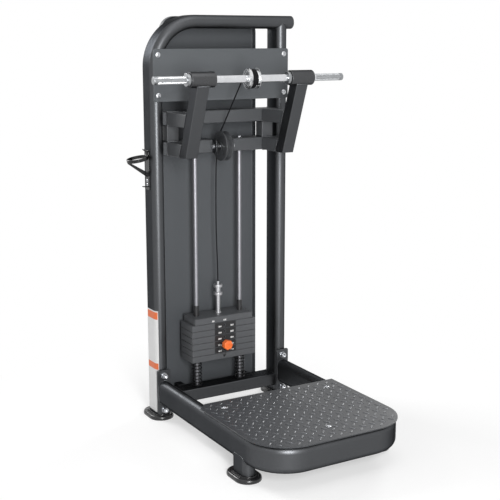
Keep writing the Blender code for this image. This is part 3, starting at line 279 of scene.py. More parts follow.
@dataclass(frozen=True)
class PolishedSteel(Finish):
    """Plated steel with faint polishing lines round it and small smears."""

    grain: float = 0.00002
    lines: Triple = (900.0, 60.0, 60.0)
    smears: float = 35.0

    def dress(self, graph: Graph) -> None:
        """Lay the metal on a graph.

        Args:
            graph: graph to fill.
        """
        lines = graph.noise(1.0, 3.0, graph.stretched(self.lines))
        dull = shade(self.colour, 0.90)
        smears = graph.ramp(graph.noise(self.smears, 5.0), (0.30, dull), (0.70, self.colour))
        graph.feed(Base_Color=smears, Roughness=graph.span(lines, self.roughness * 0.8, self.roughness * 1.35),
                   Normal=graph.bump(lines, self.grain), Metallic=1.0)


@dataclass(frozen=True)
class Moulding(Finish):
    """Moulded rubber or plastic with a pebbled skin and a little dust."""

    gloss: float = 0.5
    pebble: float = 1400.0
    depth: float = 0.00006
    dust: float = 60.0

    def dress(self, graph: Graph) -> None:
        """Lay the moulded skin on a graph.

        Args:
            graph: graph to fill.
        """
        dull, dusty = shade(self.colour, 0.85), shade(self.colour, 1.18)
        graph.feed(Base_Color=graph.ramp(graph.noise(self.dust, 6.0), (0.35, dull), (0.72, dusty)),
                   Roughness=graph.span(graph.noise(14.0, 4.0), self.roughness - 0.05, self.roughness + 0.07),
                   Normal=graph.bump(graph.cells(self.pebble), self.depth), Specular_IOR_Level=self.gloss)


@dataclass(frozen=True)
class Braid(Finish):
    """Woven cord: two strands that cross on its surface."""

    strands: float = 720.0
    slant: float = 0.785
    depth: float = 0.00018

    def dress(self, graph: Graph) -> None:
        """Lay the weave on a graph.

        Args:
            graph: graph to fill.
        """
        one, two = (graph.waves(self.strands, graph.stretched((1, 1, 1), (0, slant, 0)))
                    for slant in (self.slant, -self.slant))
        # Colour follows the relief of one strand family: darker in the grooves between strands as painted
        # shade, lighter on their tops.
        dark, light = shade(self.colour, 0.6), shade(self.colour, 1.7)
        graph.feed(Base_Color=graph.ramp(two, (0.2, dark), (0.8, light)), Roughness=self.roughness,
                   Normal=graph.bump(two, self.depth, Normal=graph.bump(one, self.depth)), Sheen_Weight=0.3)


@dataclass(frozen=True)
class Printed(Finish):
    """Label film with a faint print grain."""

    grain: float = 180.0
    depth: float = 0.00002

    def dress(self, graph: Graph) -> None:
        """Lay the film on a graph.

        Args:
            graph: graph to fill.
        """
        grain = graph.noise(self.grain, 4.0)
        graph.feed(Base_Color=graph.ramp(grain, (0.3, shade(self.colour, 0.94)), (0.7, self.colour)),
                   Roughness=graph.span(graph.noise(40.0), self.roughness - 0.04, self.roughness + 0.06),
                   Normal=graph.bump(grain, self.depth))


class Coat:
    """Finishes of this machine."""

    FRAME = PowderCoat("frame_paint", Slot.GRAPHITE, (0.081, 0.0838, 0.0885), 0.40, 0.98, edge=0.2)
    # Second copy of the frame's graphite paint, dielectric instead of metallic, so the lit front faces of
    # crossbars, posts and wings render lighter: painted light.
    CARRIER = PowderCoat("carrier_paint", Slot.GRAPHITE, (0.056, 0.059, 0.063), 0.42, gloss=0.35)
    PANEL = PowderCoat("panel_paint", Slot.PANEL, (0.078, 0.084, 0.090), 0.44, gloss=0.30)
    # Panel paint made darker for the rear shroud: painted shade, as the shroud stands in shade where the panel
    # is lit.
    SHROUD = PowderCoat("shroud_paint", Slot.PANEL, (0.066, 0.071, 0.077), 0.44, gloss=0.30)
    STACK = PowderCoat("stack_paint", Slot.STACK, (0.078, 0.081, 0.086), 0.42, gloss=0.30)
    TREAD = PowderCoat("tread_paint", Slot.TREAD, (0.030, 0.032, 0.036), 0.44, gloss=0.35)
    # Studs painted lighter and more metallic than the plate: partly wear on their tops, partly a painted
    # highlight for the glints on their ridges.
    STUD = PowderCoat("stud_paint", Slot.TREAD, (0.085, 0.088, 0.095), 0.30, 0.5)
    SPRING = PowderCoat("spring_black", Slot.BLACK, (0.008, 0.008, 0.009), 0.42, gloss=0.25)
    GLOSS_BLACK = PowderCoat("gloss_black", Slot.BLACK, (0.0035, 0.0035, 0.0038), 0.17, gloss=0.45)
    BLACK = PowderCoat("black_paint", Slot.BLACK, (0.085, 0.0865, 0.090), 0.28, 0.98, edge=0.3)
    CHROME = PolishedSteel("chrome", Slot.CHROME, (0.70, 0.71, 0.73), 0.16)
    DRUM = PolishedSteel("drum_steel", Slot.CHROME, (0.82, 0.83, 0.84), 0.24)
    # Chrome made far darker for the guide rods: painted shade, standing in for dark surroundings mirrored in
    # them.
    ROD = PolishedSteel("rod_chrome", Slot.CHROME, (0.285, 0.285, 0.305), 0.42, 0.000004, (60.0, 60.0, 900.0))
    SELECTOR = PolishedSteel("selector_steel", Slot.CHROME, (0.46, 0.46, 0.475), 0.42, 0.000006,
                             (60.0, 60.0, 900.0))
    KNURL = PolishedSteel("knurled_steel", Slot.CHROME, (0.43, 0.44, 0.45), 0.32)
    BAR_END = PolishedSteel("bar_end_steel", Slot.CHROME, (0.33, 0.34, 0.35), 0.28)
    ZINC = PolishedSteel("zinc", Slot.CHROME, (0.50, 0.51, 0.53), 0.26, 0.00004, (300.0, 300.0, 300.0))
    RUBBER = Moulding("rubber", Slot.RUBBER, (0.010, 0.010, 0.011), 0.24)
    PLASTIC = Moulding("black_plastic", Slot.PLASTIC, (0.014, 0.014, 0.015), 0.40)
    WHEEL = Moulding("pulley_grey", Slot.PLASTIC, (0.036, 0.038, 0.041), 0.42, 0.35)
    CABLE = Moulding("cable_jacket", Slot.CABLE, (0.004, 0.004, 0.005), 0.55, 0.15, 2600.0, 0.00003)
    ORANGE = Moulding("orange_plastic", Slot.ORANGE, (0.86, 0.17, 0.035), 0.34)
    CORD = Braid("cord_fabric", Slot.CORD, (0.010, 0.010, 0.011), 0.85)
    STRIP = Printed("label_black", Slot.PLASTIC, (0.010, 0.010, 0.011), 0.42)
    DIGIT = Printed("label_white", Slot.PLASTIC, (0.80, 0.80, 0.79), 0.50)
    PLACARD = Printed("placard_white", Slot.PANEL, (0.55, 0.55, 0.55), 0.46)
    BAND = Printed("placard_band", Slot.ORANGE, (0.58, 0.12, 0.030), 0.46)


class Box:
    """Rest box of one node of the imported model."""

    def __init__(self, node: str) -> None:
        """Read the box of a node.

        Args:
            node: name of the node.
        """
        self.low, self.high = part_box(node)
        self.size = self.high - self.low
        self.middle = (self.low + self.high) / 2

    def outline(self, plane: str, radii: Sequence[float], inset: float = 0.0, steps: int = 6) -> Outline:
        """Outline of the box in a plane such as xz, with radii as in corner_outline."""
        low, high = getattr(self.low, plane), getattr(self.high, plane)
        return corner_outline(low[0] + inset, high[0] - inset, low[1] + inset, high[1] - inset, radii, steps)


REAR = Box("right_upright").middle.y
BAR_AXIS = Box("grip_bar").middle
PULLEY_AXIS = Box("guide_pulley").middle
PIN_AXIS = Vector((0, REAR, Box("selector_pin").middle.z))


def arc(start: float, end: float, steps: int) -> list[float]:
    """Even steps from start to end, both of them read, mostly as angles in radians."""
    return [start + (end - start) * k / steps for k in range(steps + 1)]


def circle(sides: int) -> list[float]:
    """Even angles in radians round a full turn."""
    return [2 * math.pi * k / sides for k in range(sides)]


def spoke(angle: float) -> Vector:
    """Direction square to the machine's width, at an angle in radians from the rear upwards."""
    return Vector((0, math.cos(angle), math.sin(angle)))


def flat_oval(width: float, depth: float, steps: int = 20) -> Outline:
    """Outline of a flat-oval tube, its long side along the second direction.

    Args:
        width: short side.
        depth: long side.
        steps: facets of each round nose.

    Returns:
        The outline, turning anticlockwise.
    """
    radius = width / 2
    straight = depth / 2 - radius
    return [(sign * radius * math.cos(angle), sign * (straight + radius * math.sin(angle)))
            for sign in (1, -1) for angle in arc(0.0, math.pi, steps)]


def corner_outline(left: float, right: float, low: float, high: float,
                   radii: Sequence[float], steps: int = 6) -> Outline:
    """Outline of a rectangle with its own radius at each corner.

    Args:
        left: lowest first coordinate.
        right: highest first coordinate.
        low: lowest second coordinate.
        high: highest second coordinate.
        radii: radius at low-right, high-right, high-left and low-left.
        steps: facets of each corner.

    Returns:
        The outline, turning anticlockwise.
    """
    points = []
    corners = ((right, low, -1, 1), (right, high, -1, -1), (left, high, 1, -1), (left, low, 1, 1))
    for number, ((x, y, inward_x, inward_y), radius) in enumerate(zip(corners, radii)):
        start = (number - 1) * math.pi / 2
        points += [(x + radius * (inward_x + math.cos(angle)), y + radius * (inward_y + math.sin(angle)))
                   for angle in arc(start, start + math.pi / 2, steps)]
    return points


def rounded_box(width: float, height: float, radius: float) -> Outline:
    """Outline of a rectangle with round corners about its middle."""
    return corner_outline(-width / 2, width / 2, -height / 2, height / 2, [radius] * 4)


def nose_drop(radius: float, offset: float, straight: float = 0.0) -> float:
    """How far a tube's nose lies below its outermost line, at an offset from the middle."""
    past = max(0.0, abs(offset) - straight)
    return radius - math.sqrt(max(0.0, radius * radius - past * past))


def both_halves(right: Sequence[Pair]) -> list[Pair]:
    """Lathe profile from its right half, which may start on the middle plane."""
    return [(radius, -along) for radius, along in reversed(right) if along] + list(right)


def round_edge(radius: float, face: float, r: float, angles: Iterable[float], way: int = 1) -> list[Pair]:
    """Rounded rim of a lathe profile, from angle 0 on the face; way is -1 before the face."""
    return [(radius - r + r * math.sin(a), face + way * (r - r * math.cos(a))) for a in angles]


def set_ring(outline: Outline, point: Vector, tangent: Vector, side: Vector) -> Ring:
    """Set an outline about a point, square to a tangent, its second coordinate towards side."""
    across = side.cross(tangent).normalized()
    return [point + across * u + side * v for u, v in outline]


def smooth_route(points: Sequence[Vector], spacing: float) -> list[Vector]:
    """Read a smooth curve through a route's points at an even spacing.

    Args:
        points: points that the curve passes through.
        spacing: distance between the points read.

    Returns:
        The points read.
    """
    ends = [2 * points[0] - points[1], *points, 2 * points[-1] - points[-2]]
    fine = []
    for before, start, end, after in zip(ends, ends[1:], ends[2:], ends[3:]):
        steps = max(1, round((end - start).length / spacing))
        for k in range(steps):
            t = k / steps
            bend = (2 * before - 5 * start + 4 * end - after) * t ** 2
            twist = (3 * start - before - 3 * end + after) * t ** 3
            fine.append(0.5 * (2 * start + (end - before) * t + bend + twist))
    fine.append(points[-1])
    return fine


def outfit(obj: Piece, finish: Finish, nodes: Sequence[str] = (), body: Body = Body.FRAME) -> Piece:
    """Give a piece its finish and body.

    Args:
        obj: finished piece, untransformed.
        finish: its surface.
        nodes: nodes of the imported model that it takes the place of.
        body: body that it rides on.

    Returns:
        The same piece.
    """
    if not obj.data.materials:
        obj.data.materials.append(finish.material())
    if nodes:
        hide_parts(*nodes)
    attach(obj, body.value)
    return obj


def link(name: str, data: bpy.types.ID) -> Piece:
    """Put data in the scene as an object.

    Args:
        name: name of the object.
        data: its mesh, text, lamp or camera.

    Returns:
        The object.
    """
    obj = bpy.data.objects.new(name, data)
    bpy.context.scene.collection.objects.link(obj)
    return obj


def plain_mesh(obj: Piece) -> bpy.types.Mesh:
    """Mesh of an object with its modifiers in it.

    Args:
        obj: object with modifiers, or text.

    Returns:
        The mesh.
    """
    bpy.context.view_layer.update()
    graph = bpy.context.evaluated_depsgraph_get()
    return bpy.data.meshes.new_from_object(obj.evaluated_get(graph), depsgraph=graph)


def bake(obj: Piece, *tools: Piece) -> Piece:
    """Put an object's modifiers into its mesh.

    Args:
        obj: object with modifiers.
        tools: objects that the modifiers used up.

    Returns:
        The same object without them.
    """
    mesh = plain_mesh(obj)
    mesh.name = obj.name
    obj.modifiers.clear()
    obj.data = mesh
    for tool in tools:
        bpy.data.objects.remove(tool, do_unlink=True)
    return obj


class Solid:
    """Faces gathered for one piece."""

    def __init__(self) -> None:
        """Start an empty piece."""
        self.bm = bmesh.new()
        self.cutters: list[Piece] = []

    def loft(self, rings: Sequence[Ring], closed: bool = False) -> "Solid":
        """Join rings of equally many points, with a cap at each end of an open loft.

        Args:
            rings: the rings in order.
            closed: whether the last ring joins the first.

        Returns:
            This piece.
        """
        loops = [[self.bm.verts.new(point) for point in ring] for ring in rings]
        for low, high in zip(loops, loops[1:] + loops[:closed]):
            for i in range(len(low)):
                self.bm.faces.new((low[i - 1], low[i], high[i], high[i - 1]))
        if not closed:
            self.bm.faces.new(loops[0])
            self.bm.faces.new(loops[-1])
        return self

    def tube(self, outer: Outline, inner: Outline, path: Sequence[Station], side: Vector) -> "Solid":
        """Tube with open ends along a path, the outlines' second coordinate towards side."""
        skins = [[set_ring(outline, *spot, side) for spot in path] for outline in (outer, inner)]
        return self.loft(skins[0] + skins[1][::-1], closed=True)

    def lathe(self, profile: Sequence[Pair], origin: Vector, axis: Vector, sides: int = 48,
              bored: bool = False) -> "Solid":
        """Spin a (radius, along) profile about an axis.

        Args:
            profile: from pole to pole, or a closed loop round a bore.
            origin: place where along is zero.
            axis: direction of the axis.
            sides: facets round it.
            bored: whether the profile is a closed loop.

        Returns:
            This piece.
        """
        turn = UP.rotation_difference(axis).to_matrix()
        columns = [[self.bm.verts.new(origin + turn @ Vector((r * math.cos(a), r * math.sin(a), s)))
                    for r, s in profile] for a in circle(sides)]
        for one, two in zip(columns, columns[1:] + columns[:1]):
            for i in range(0 if bored else 1, len(profile)):
                self.bm.faces.new((one[i - 1], two[i - 1], two[i], one[i]))
        return self

    def prism(self, outline: Outline, origin: Vector, across: Vector, up: Vector, depth: float) -> "Solid":
        """Plate of one outline and an even thickness.

        Args:
            outline: points in the plate's plane.
            origin: place of the outline's zero.
            across: first direction.
            up: second direction.
            depth: thickness along across x up.

        Returns:
            This piece.
        """
        push = across.cross(up).normalized() * depth
        base = [origin + across * u + up * v for u, v in outline]
        return self.loft([base, [point + push for point in base]])

    def block(self, low: Triple, high: Triple) -> "Solid":
        """Block between two corners."""
        plan = [(low[0], low[1]), (high[0], low[1]), (high[0], high[1]), (low[0], high[1])]
        return self.loft([[Vector((x, y, z)) for x, y in plan] for z in (low[2], high[2])])

    def drill(self, radius: float, start: Vector, length: float) -> "Solid":
        """Cut a round hole towards the rear.

        Args:
            radius: radius of the hole.
            start: front end of its axis.
            length: length of the hole.

        Returns:
            This piece.
        """
        cutter = Solid().lathe([(0, 0), (radius, 0), (radius, length), (0, length)], start, BACK, 32)
        self.cutters.append(link("drill", cutter.mesh("drill")))
        return self

    def mesh(self, name: str) -> bpy.types.Mesh:
        """Merge touching points, turn every face outwards and hand out the mesh.

        Args:
            name: name of the mesh.

        Returns:
            The mesh.
        """
        bmesh.ops.remove_doubles(self.bm, verts=self.bm.verts, dist=MERGE)
        bmesh.ops.recalc_face_normals(self.bm, faces=self.bm.faces)
        mesh = bpy.data.meshes.new(name)
        self.bm.to_mesh(mesh)
        self.bm.free()
        return mesh

    def raw(self, name: str, edge: float = 0.0) -> Piece:
        """Turn the faces into a plain object with round edges and even shading.

        Args:
            name: name of the object.
            edge: radius of its edges.

        Returns:
            The object, with no modifier left on it.
        """
        mesh = self.mesh(name)
        mesh.shade_smooth()
        mesh.set_sharp_from_angle(angle=SHARP)
        obj = link(name, mesh)
        for tool in self.cutters:
            cut = obj.modifiers.new("drill", "BOOLEAN")
            cut.operation, cut.solver, cut.object = "DIFFERENCE", "EXACT", tool
        if edge:
            bevel = obj.modifiers.new("edge", "BEVEL")
            bevel.width, bevel.segments = edge, EDGE_STEPS
            bevel.limit_method, bevel.angle_limit = "ANGLE", SHARP
        obj.modifiers.new("even", "WEIGHTED_NORMAL").keep_sharp = not edge
        return bake(obj, *self.cutters)

    def ship(self, name: str, finish: Finish, *nodes: str, body: Body = Body.FRAME, edge: float = 0.0) -> Piece:
        """Turn the faces into a dressed piece that takes the place of nodes and rides on body."""
        return outfit(self.raw(name, edge), finish, nodes, body)


class Tree:
    """Geometry Nodes tree written in code, with named inputs."""

    def __init__(self, name: str, **inputs: str) -> None:
        """Start a tree.

        Args:
            name: name of the tree.
            inputs: kind of each input, such as Float, by its name with underscores for spaces.
        """
        self.group = bpy.data.node_groups.new(name, "GeometryNodeTree")
        face = self.group.interface
        self.keys = {}
        for label, kind in {"Geometry": "Geometry", **inputs, "Paint": "Material"}.items():
            item = face.new_socket(label.replace("_", " "), in_out="INPUT", socket_type="NodeSocket" + kind)
            self.keys[label] = item.identifier
        face.new_socket("Geometry", in_out="OUTPUT", socket_type="NodeSocketGeometry")
        self.entry = self.group.nodes.new("NodeGroupInput")

    def given(self, source: object) -> object:
        """Socket of a named input, or anything else as it is."""
        named = isinstance(source, str) and source in self.keys
        return self.entry.outputs[source.replace("_", " ")] if named else source

    def out(self, kind: str, output: int | str = 0, **sources: object) -> Socket:
        """Add a node and read one output.

        Args:
            kind: type of the node, without its first words where these are GeometryNode.
            output: which output to read.
            sources: what feed_node takes, or the name of one of the tree's inputs.

        Returns:
            The output.
        """
        full = kind if "Node" in kind else "GeometryNode" + kind
        given = {key: self.given(source) for key, source in sources.items()}
        return add_node(self.group, full, **given).outputs[output]

    def calc(self, operation: str, first: object, second: object = 0.0) -> Socket:
        """Arithmetic on one or two values."""
        return self.out("ShaderNodeMath", operation=operation, i0=first, i1=second)

    def added(self, first: object, second: object) -> Socket:
        """Sum of two vectors."""
        return self.out("ShaderNodeVectorMath", operation="ADD", i0=first, i1=second)

    def finish(self, geometry: Socket) -> "Tree":
        """Realize, paint and hand out the geometry.

        Args:
            geometry: what the tree made.

        Returns:
            This tree.
        """
        real = self.out("RealizeInstances", Geometry=geometry)
        painted = self.out("SetMaterial", Geometry=real, Material="Paint")
        add_node(self.group, "NodeGroupOutput", i0=painted)
        return self

    def grow(self, name: str, base: bpy.types.Mesh, finish: Finish, *seeds: Piece, **values: object) -> Piece:
        """Run the tree on a mesh and keep the result as a plain object.

        Args:
            name: name of the object.
            base: mesh that the tree reads.
            finish: surface of what it makes.
            seeds: shapes that are used up.
            values: value of each named input.

        Returns:
            The object, with no modifier left on it.
        """
        obj = bpy.data.objects.new(name, base)
        modifier = obj.modifiers.new("grow", "NODES")
        modifier.node_group = self.group
        for label, value in {**values, "Paint": finish.material()}.items():
            modifier[self.keys[label]] = value
        bpy.context.scene.collection.objects.link(obj)
        return bake(obj, *seeds)


def line_mesh(loops: Sequence[Sequence[Vector]], closed: bool = False) -> bpy.types.Mesh:
    """Lines through points, for a tree that follows them.

    Args:
        loops: the points of each line.
        closed: whether each line returns to its start.

    Returns:
        The mesh of edges.
    """
    points: list[Vector] = []
    edges: list[tuple[int, int]] = []
    for loop in loops:
        start = len(points)
        points += list(loop)
        edges += [(start + i, start + i + 1) for i in range(len(loop) - 1)]
        if closed:
            edges.append((start + len(loop) - 1, start))
    mesh = bpy.data.meshes.new("line")
    mesh.from_pydata([tuple(point) for point in points], edges, [])
    return mesh


def station_mesh(stations: Sequence[Station]) -> bpy.types.Mesh:
    """Loose points that each carry the direction they face.

    Args:
        stations: places and directions.

    Returns:
        The mesh with its aim attribute.
    """
    mesh = bpy.data.meshes.new("stations")
    mesh.from_pydata([tuple(place) for place, aim in stations], [], [])
    layer = mesh.attributes.new("aim", "FLOAT_VECTOR", "POINT")
    for target, (place, aim) in zip(layer.data, stations):
        target.vector = aim
    return mesh


class Trees:
    """The repeating shapes of this machine."""

    def __init__(self) -> None:
        """Write every tree once."""
        self.rope = self._rope()
        self.heads = self._heads()
        self.beads = self._beads()
        self.coil = self._coil()
        self.studs = self._studs()
        self.knurl = self._knurl()

    @staticmethod
    def _skin(tree: Tree, line: Socket, radius: Socket, sides: object) -> Tree:
        """Finish a tree with a round tube along a line.

        Args:
            tree: tree to finish.
            line: curve to follow.
            radius: radius of the tube.
            sides: facets round it.

        Returns:
            The tree.
        """
        ring = tree.out("CurvePrimitiveCircle", Resolution=sides, Radius=radius)
        skin = tree.out("CurveToMesh", Curve=line, Profile_Curve=ring, Fill_Caps=True)
        return tree.finish(tree.out("SetShadeSmooth", Geometry=skin))

    def _rope(self) -> Tree:
        """Round tube along the lines it is given.

        Returns:
            The tree.
        """
        tree = Tree("rope", Diameter="Float", Sides="Int")
        line = tree.out("MeshToCurve", Mesh="Geometry")
        return self._skin(tree, line, tree.calc("MULTIPLY", "Diameter", 0.5), "Sides")

    def _heads(self) -> Tree:
        """Fastener heads set on stations and turned at random about their axes.

        Returns:
            The tree.
        """
        tree = Tree("heads", Head="Object", Seed="Int")
        aim = tree.out("InputNamedAttribute", data_type="FLOAT_VECTOR", Name="aim")
        face = tree.out("FunctionNodeAlignRotationToVector", axis="Z", Vector=aim)
        spin = tree.out("FunctionNodeRandomValue", 1, data_type="FLOAT", i3=math.pi, Seed="Seed")
        turn = tree.out("FunctionNodeAxisAngleToRotation", Axis=(0, 0, 1), Angle=spin)
        both = tree.out("FunctionNodeRotateRotation", rotation_space="LOCAL", i0=face, i1=turn)
        shape = tree.out("ObjectInfo", "Geometry", Object="Head")
        return tree.finish(tree.out("InstanceOnPoints", Points="Geometry", Instance=shape, Rotation=both))

    def _beads(self) -> Tree:
        """Weld ripples along the loops they are given.

        Returns:
            The tree.
        """
        tree = Tree("beads", Ripple="Object", Spacing="Float", Seed="Int")
        line = tree.out("MeshToCurve", Mesh="Geometry")
        points = tree.out("CurveToPoints", "Points", mode="LENGTH", Curve=line, Length="Spacing")
        size = tree.out("FunctionNodeRandomValue", 1, data_type="FLOAT", i2=0.88, i3=1.12, Seed="Seed")
        shape = tree.out("ObjectInfo", "Geometry", Object="Ripple")
        return tree.finish(tree.out("InstanceOnPoints", Points=points, Instance=shape,
                                    Rotation=points.node.outputs["Rotation"], Scale=size))

    def _coil(self) -> Tree:
        """Compression spring with closed ends, standing on its low end.

        Returns:
            The tree.
        """
        tree = Tree("coil", Turns="Float", Radius="Float", Low="Float", High="Float", Wire="Float",
                    Dead_turns="Float", Points="Int", Across="Vector")
        calc = tree.calc
        fine = tree.out("ResampleCurve", Curve=tree.out("CurvePrimitiveLine"), Count="Points")
        turned = calc("MULTIPLY", tree.out("SplineParameter", "Factor"), "Turns")
        low_dead = calc("MINIMUM", turned, "Dead_turns")
        high_dead = calc("MINIMUM", calc("SUBTRACT", "Turns", turned), "Dead_turns")
        dead = calc("MULTIPLY", calc("ADD", calc("SUBTRACT", low_dead, high_dead), "Dead_turns"), "Wire")
        both_dead = calc("MULTIPLY", "Dead_turns", 2.0)
        share = calc("DIVIDE", calc("SUBTRACT", turned, "Dead_turns"), calc("SUBTRACT", "Turns", both_dead))
        share = calc("MINIMUM", calc("MAXIMUM", share, 0.0), 1.0)
        rise = calc("SUBTRACT", calc("SUBTRACT", "High", "Low"), "Wire")
        live = calc("MULTIPLY", share, calc("SUBTRACT", rise, calc("MULTIPLY", both_dead, "Wire")))
        radius = calc("MULTIPLY", "Wire", 0.5)
        height = calc("ADD", calc("ADD", calc("ADD", "Low", radius), dead), live)
        angle = calc("MULTIPLY", turned, 2 * math.pi)
        spot = tree.out("ShaderNodeCombineXYZ", X=calc("MULTIPLY", calc("COSINE", angle), "Radius"),
                        Y=calc("MULTIPLY", calc("SINE", angle), "Radius"), Z=height)
        bent = tree.out("SetPosition", Geometry=fine, Position=tree.added(spot, "Across"))
        return self._skin(tree, bent, radius, 12)

    def _studs(self) -> Tree:
        """Raised lozenges in two crossing families, kept where the field lies under them.

        Returns:
            The tree.
        """
        tree = Tree("studs", Stud="Object", Pitch_across="Float", Pitch_along="Float", Columns="Int",
                    Rows="Int", Middle="Vector", Turn="Float")
        calc = tree.calc
        shape = tree.out("ObjectInfo", "Geometry", Object="Stud")
        join = add_node(tree.group, "GeometryNodeJoinGeometry")
        for sign, shift in ((1.0, 0.0), (-1.0, 0.5)):
            wide = calc("MULTIPLY", "Pitch_across", calc("SUBTRACT", "Columns", 1.0))
            long = calc("MULTIPLY", "Pitch_along", calc("SUBTRACT", "Rows", 1.0))
            grid = tree.out("MeshGrid", Size_X=wide, Size_Y=long, Vertices_X="Columns", Vertices_Y="Rows")
            half = tree.out("ShaderNodeCombineXYZ", X=calc("MULTIPLY", "Pitch_across", shift),
                            Y=calc("MULTIPLY", "Pitch_along", shift))
            there = tree.out("Transform", Geometry=grid, Translation=tree.added(half, "Middle"))
            hit = tree.out("Raycast", "Is Hit", Target_Geometry="Geometry", Ray_Direction=(0.0, 0.0, -1.0),
                           Ray_Length=1.0)
            miss = tree.out("FunctionNodeBooleanMath", operation="NOT", i0=hit)
            kept = tree.out("DeleteGeometry", Geometry=there, Selection=miss)
            turn = tree.out("FunctionNodeAxisAngleToRotation", Axis=(0, 0, 1),
                            Angle=calc("MULTIPLY", "Turn", sign))
            made = tree.out("InstanceOnPoints", Points=kept, Instance=shape, Rotation=turn)
            tree.group.links.new(made, join.inputs[0])
        return tree.finish(join.outputs[0])

    def _knurl(self) -> Tree:
        """Pointed diamonds wrapped round a bar, every second row moved half a pitch.

        Returns:
            The tree.
        """
        tree = Tree("knurl", Point="Object", Start="Float", Length="Float", Radius="Float", Rows="Int",
                    Around="Int", Centre="Vector")
        calc = tree.calc
        grid = tree.out("MeshGrid", Size_X="Length", Size_Y=1.0, Vertices_X="Rows", Vertices_Y="Around")
        index = tree.out("InputIndex")
        row = calc("FLOOR", calc("DIVIDE", index, "Around"))
        step = calc("SUBTRACT", index, calc("MULTIPLY", row, "Around"))
        half = calc("MULTIPLY", calc("MODULO", row, 2.0), 0.5)
        angle = calc("MULTIPLY", calc("DIVIDE", calc("ADD", step, half), "Around"), 2 * math.pi)
        along = calc("DIVIDE", calc("MULTIPLY", "Length", row), calc("SUBTRACT", "Rows", 1.0))
        out = tree.out("ShaderNodeCombineXYZ", Y=calc("COSINE", angle), Z=calc("SINE", angle))
        lift = tree.out("ShaderNodeVectorMath", operation="SCALE", i0=out, Scale="Radius")
        spot = tree.added(lift, tree.out("ShaderNodeCombineXYZ", X=calc("ADD", "Start", along)))
        kept = tree.out("StoreNamedAttribute", data_type="FLOAT_VECTOR", Geometry=grid, Name="aim", Value=out)
        bent = tree.out("SetPosition", Geometry=kept, Position=tree.added(spot, "Centre"))
        aim = tree.out("InputNamedAttribute", data_type="FLOAT_VECTOR", Name="aim")
        face = tree.out("FunctionNodeAlignRotationToVector", axis="Z", pivot_axis="X", Vector=aim)
        shape = tree.out("ObjectInfo", "Geometry", Object="Point")
        return tree.finish(tree.out("InstanceOnPoints", Points=bent, Instance=shape, Rotation=face))


@dataclass
class Fasteners:
    """Heads of one kind of screw."""

    radius: float = 0.0105
    height: float = 0.0045
    socket: float = 0.0040
    washer_radius: float = 0.0125
    washer_height: float = 0.0020
    sides: int = 36

    def ring(self, reach: float, height: float, hexagon: bool = False) -> Ring:
        """Ring of a round or six-sided shape, both of equally many points.

        Args:
            reach: radius, or half the distance between opposite flats.
            height: height of the ring.
            hexagon: whether it has six sides.

        Returns:
            The ring.
        """
        points = []
        for angle in circle(self.sides):
            local = (angle + math.pi / 6) % (math.pi / 3) - math.pi / 6
            radius = reach / math.cos(local) if hexagon else reach
            points.append(Vector((radius * math.cos(angle), radius * math.sin(angle), height)))
        return points

    def head(self, name: str, stations: Sequence[Pair], flats: float, top: float, depth: float) -> Piece:
        """One head with its hexagon socket, standing on its seat.

        Args:
            name: name of the seed shape.
            stations: radius and height of each outer ring, from the seat upwards.
            flats: half width of the socket.
            top: height of the socket's mouth.
            depth: depth of the socket.

        Returns:
            The seed shape, to be set on stations.
        """
        rings = [self.ring(radius, height) for radius, height in stations]
        rings += [self.ring(flats * 1.12, top, True), self.ring(flats, top - 0.0004, True),
                  self.ring(flats, top - depth, True)]
        return Solid().loft(rings).raw(name)

    def button(self) -> Piece:
        """Domed socket head.

        Returns:
            The seed shape.
        """
        r, h, rim = self.radius, self.height, 0.0008
        dome = [(r * 0.97, -0.0005), (r, 0.0004), (r * 0.985, 0.0012)]
        dome += [(r * math.cos(a), rim + (h - rim) * math.sin(a)) for a in map(math.radians, (25, 38, 50, 60))]
        return self.head("button_seed", dome, self.socket, h * 0.93, h * 0.6)

    def cap(self) -> Piece:
        """Cylindrical socket head on a washer.

        Returns:
            The seed shape.
        """
        w, r = self.washer_radius, self.radius
        low, high = self.washer_height, self.washer_height + self.height
        rings = [(w - 0.0003, -0.0005), (w, 0.0003), (w, low - 0.0004), (w - 0.0004, low), (r, low),
                 (r, low + 0.0004), (r, high - 0.0014), (r - 0.0005, high - 0.0005), (r - 0.0014, high)]
        return self.head("cap_seed", rings, self.socket, high, self.height * 0.55)


@dataclass
class Assembly:
    """Part of the machine, built from its own sizes.

    Attributes:
        trees: the repeating shapes.
    """

    trees: Trees

    def build(self) -> Iterable[Piece]:
        """Make every piece, one after the other."""
        raise NotImplementedError

    def rope(self, name: str, lines: Sequence[Sequence[Vector]], finish: Finish, diameter: float, sides: int,
             nodes: Sequence[str] = (), body: Body = Body.FRAME) -> Piece:
        """Round cords or wires along lines as one piece, with so many sides round each."""
        obj = self.trees.rope.grow(name, line_mesh(lines), finish, Diameter=diameter, Sides=sides)
        return outfit(obj, finish, nodes, body)

    def heads(self, name: str, shape: Piece, stations: Sequence[Station], body: Body = Body.FRAME) -> Piece:
        """Set screw heads on stations as one piece; their shape is used up."""
        obj = self.trees.heads.grow(name, station_mesh(stations), Coat.ZINC, shape, Head=shape, Seed=HEAD_SEED)
        return outfit(obj, Coat.ZINC, body=body)


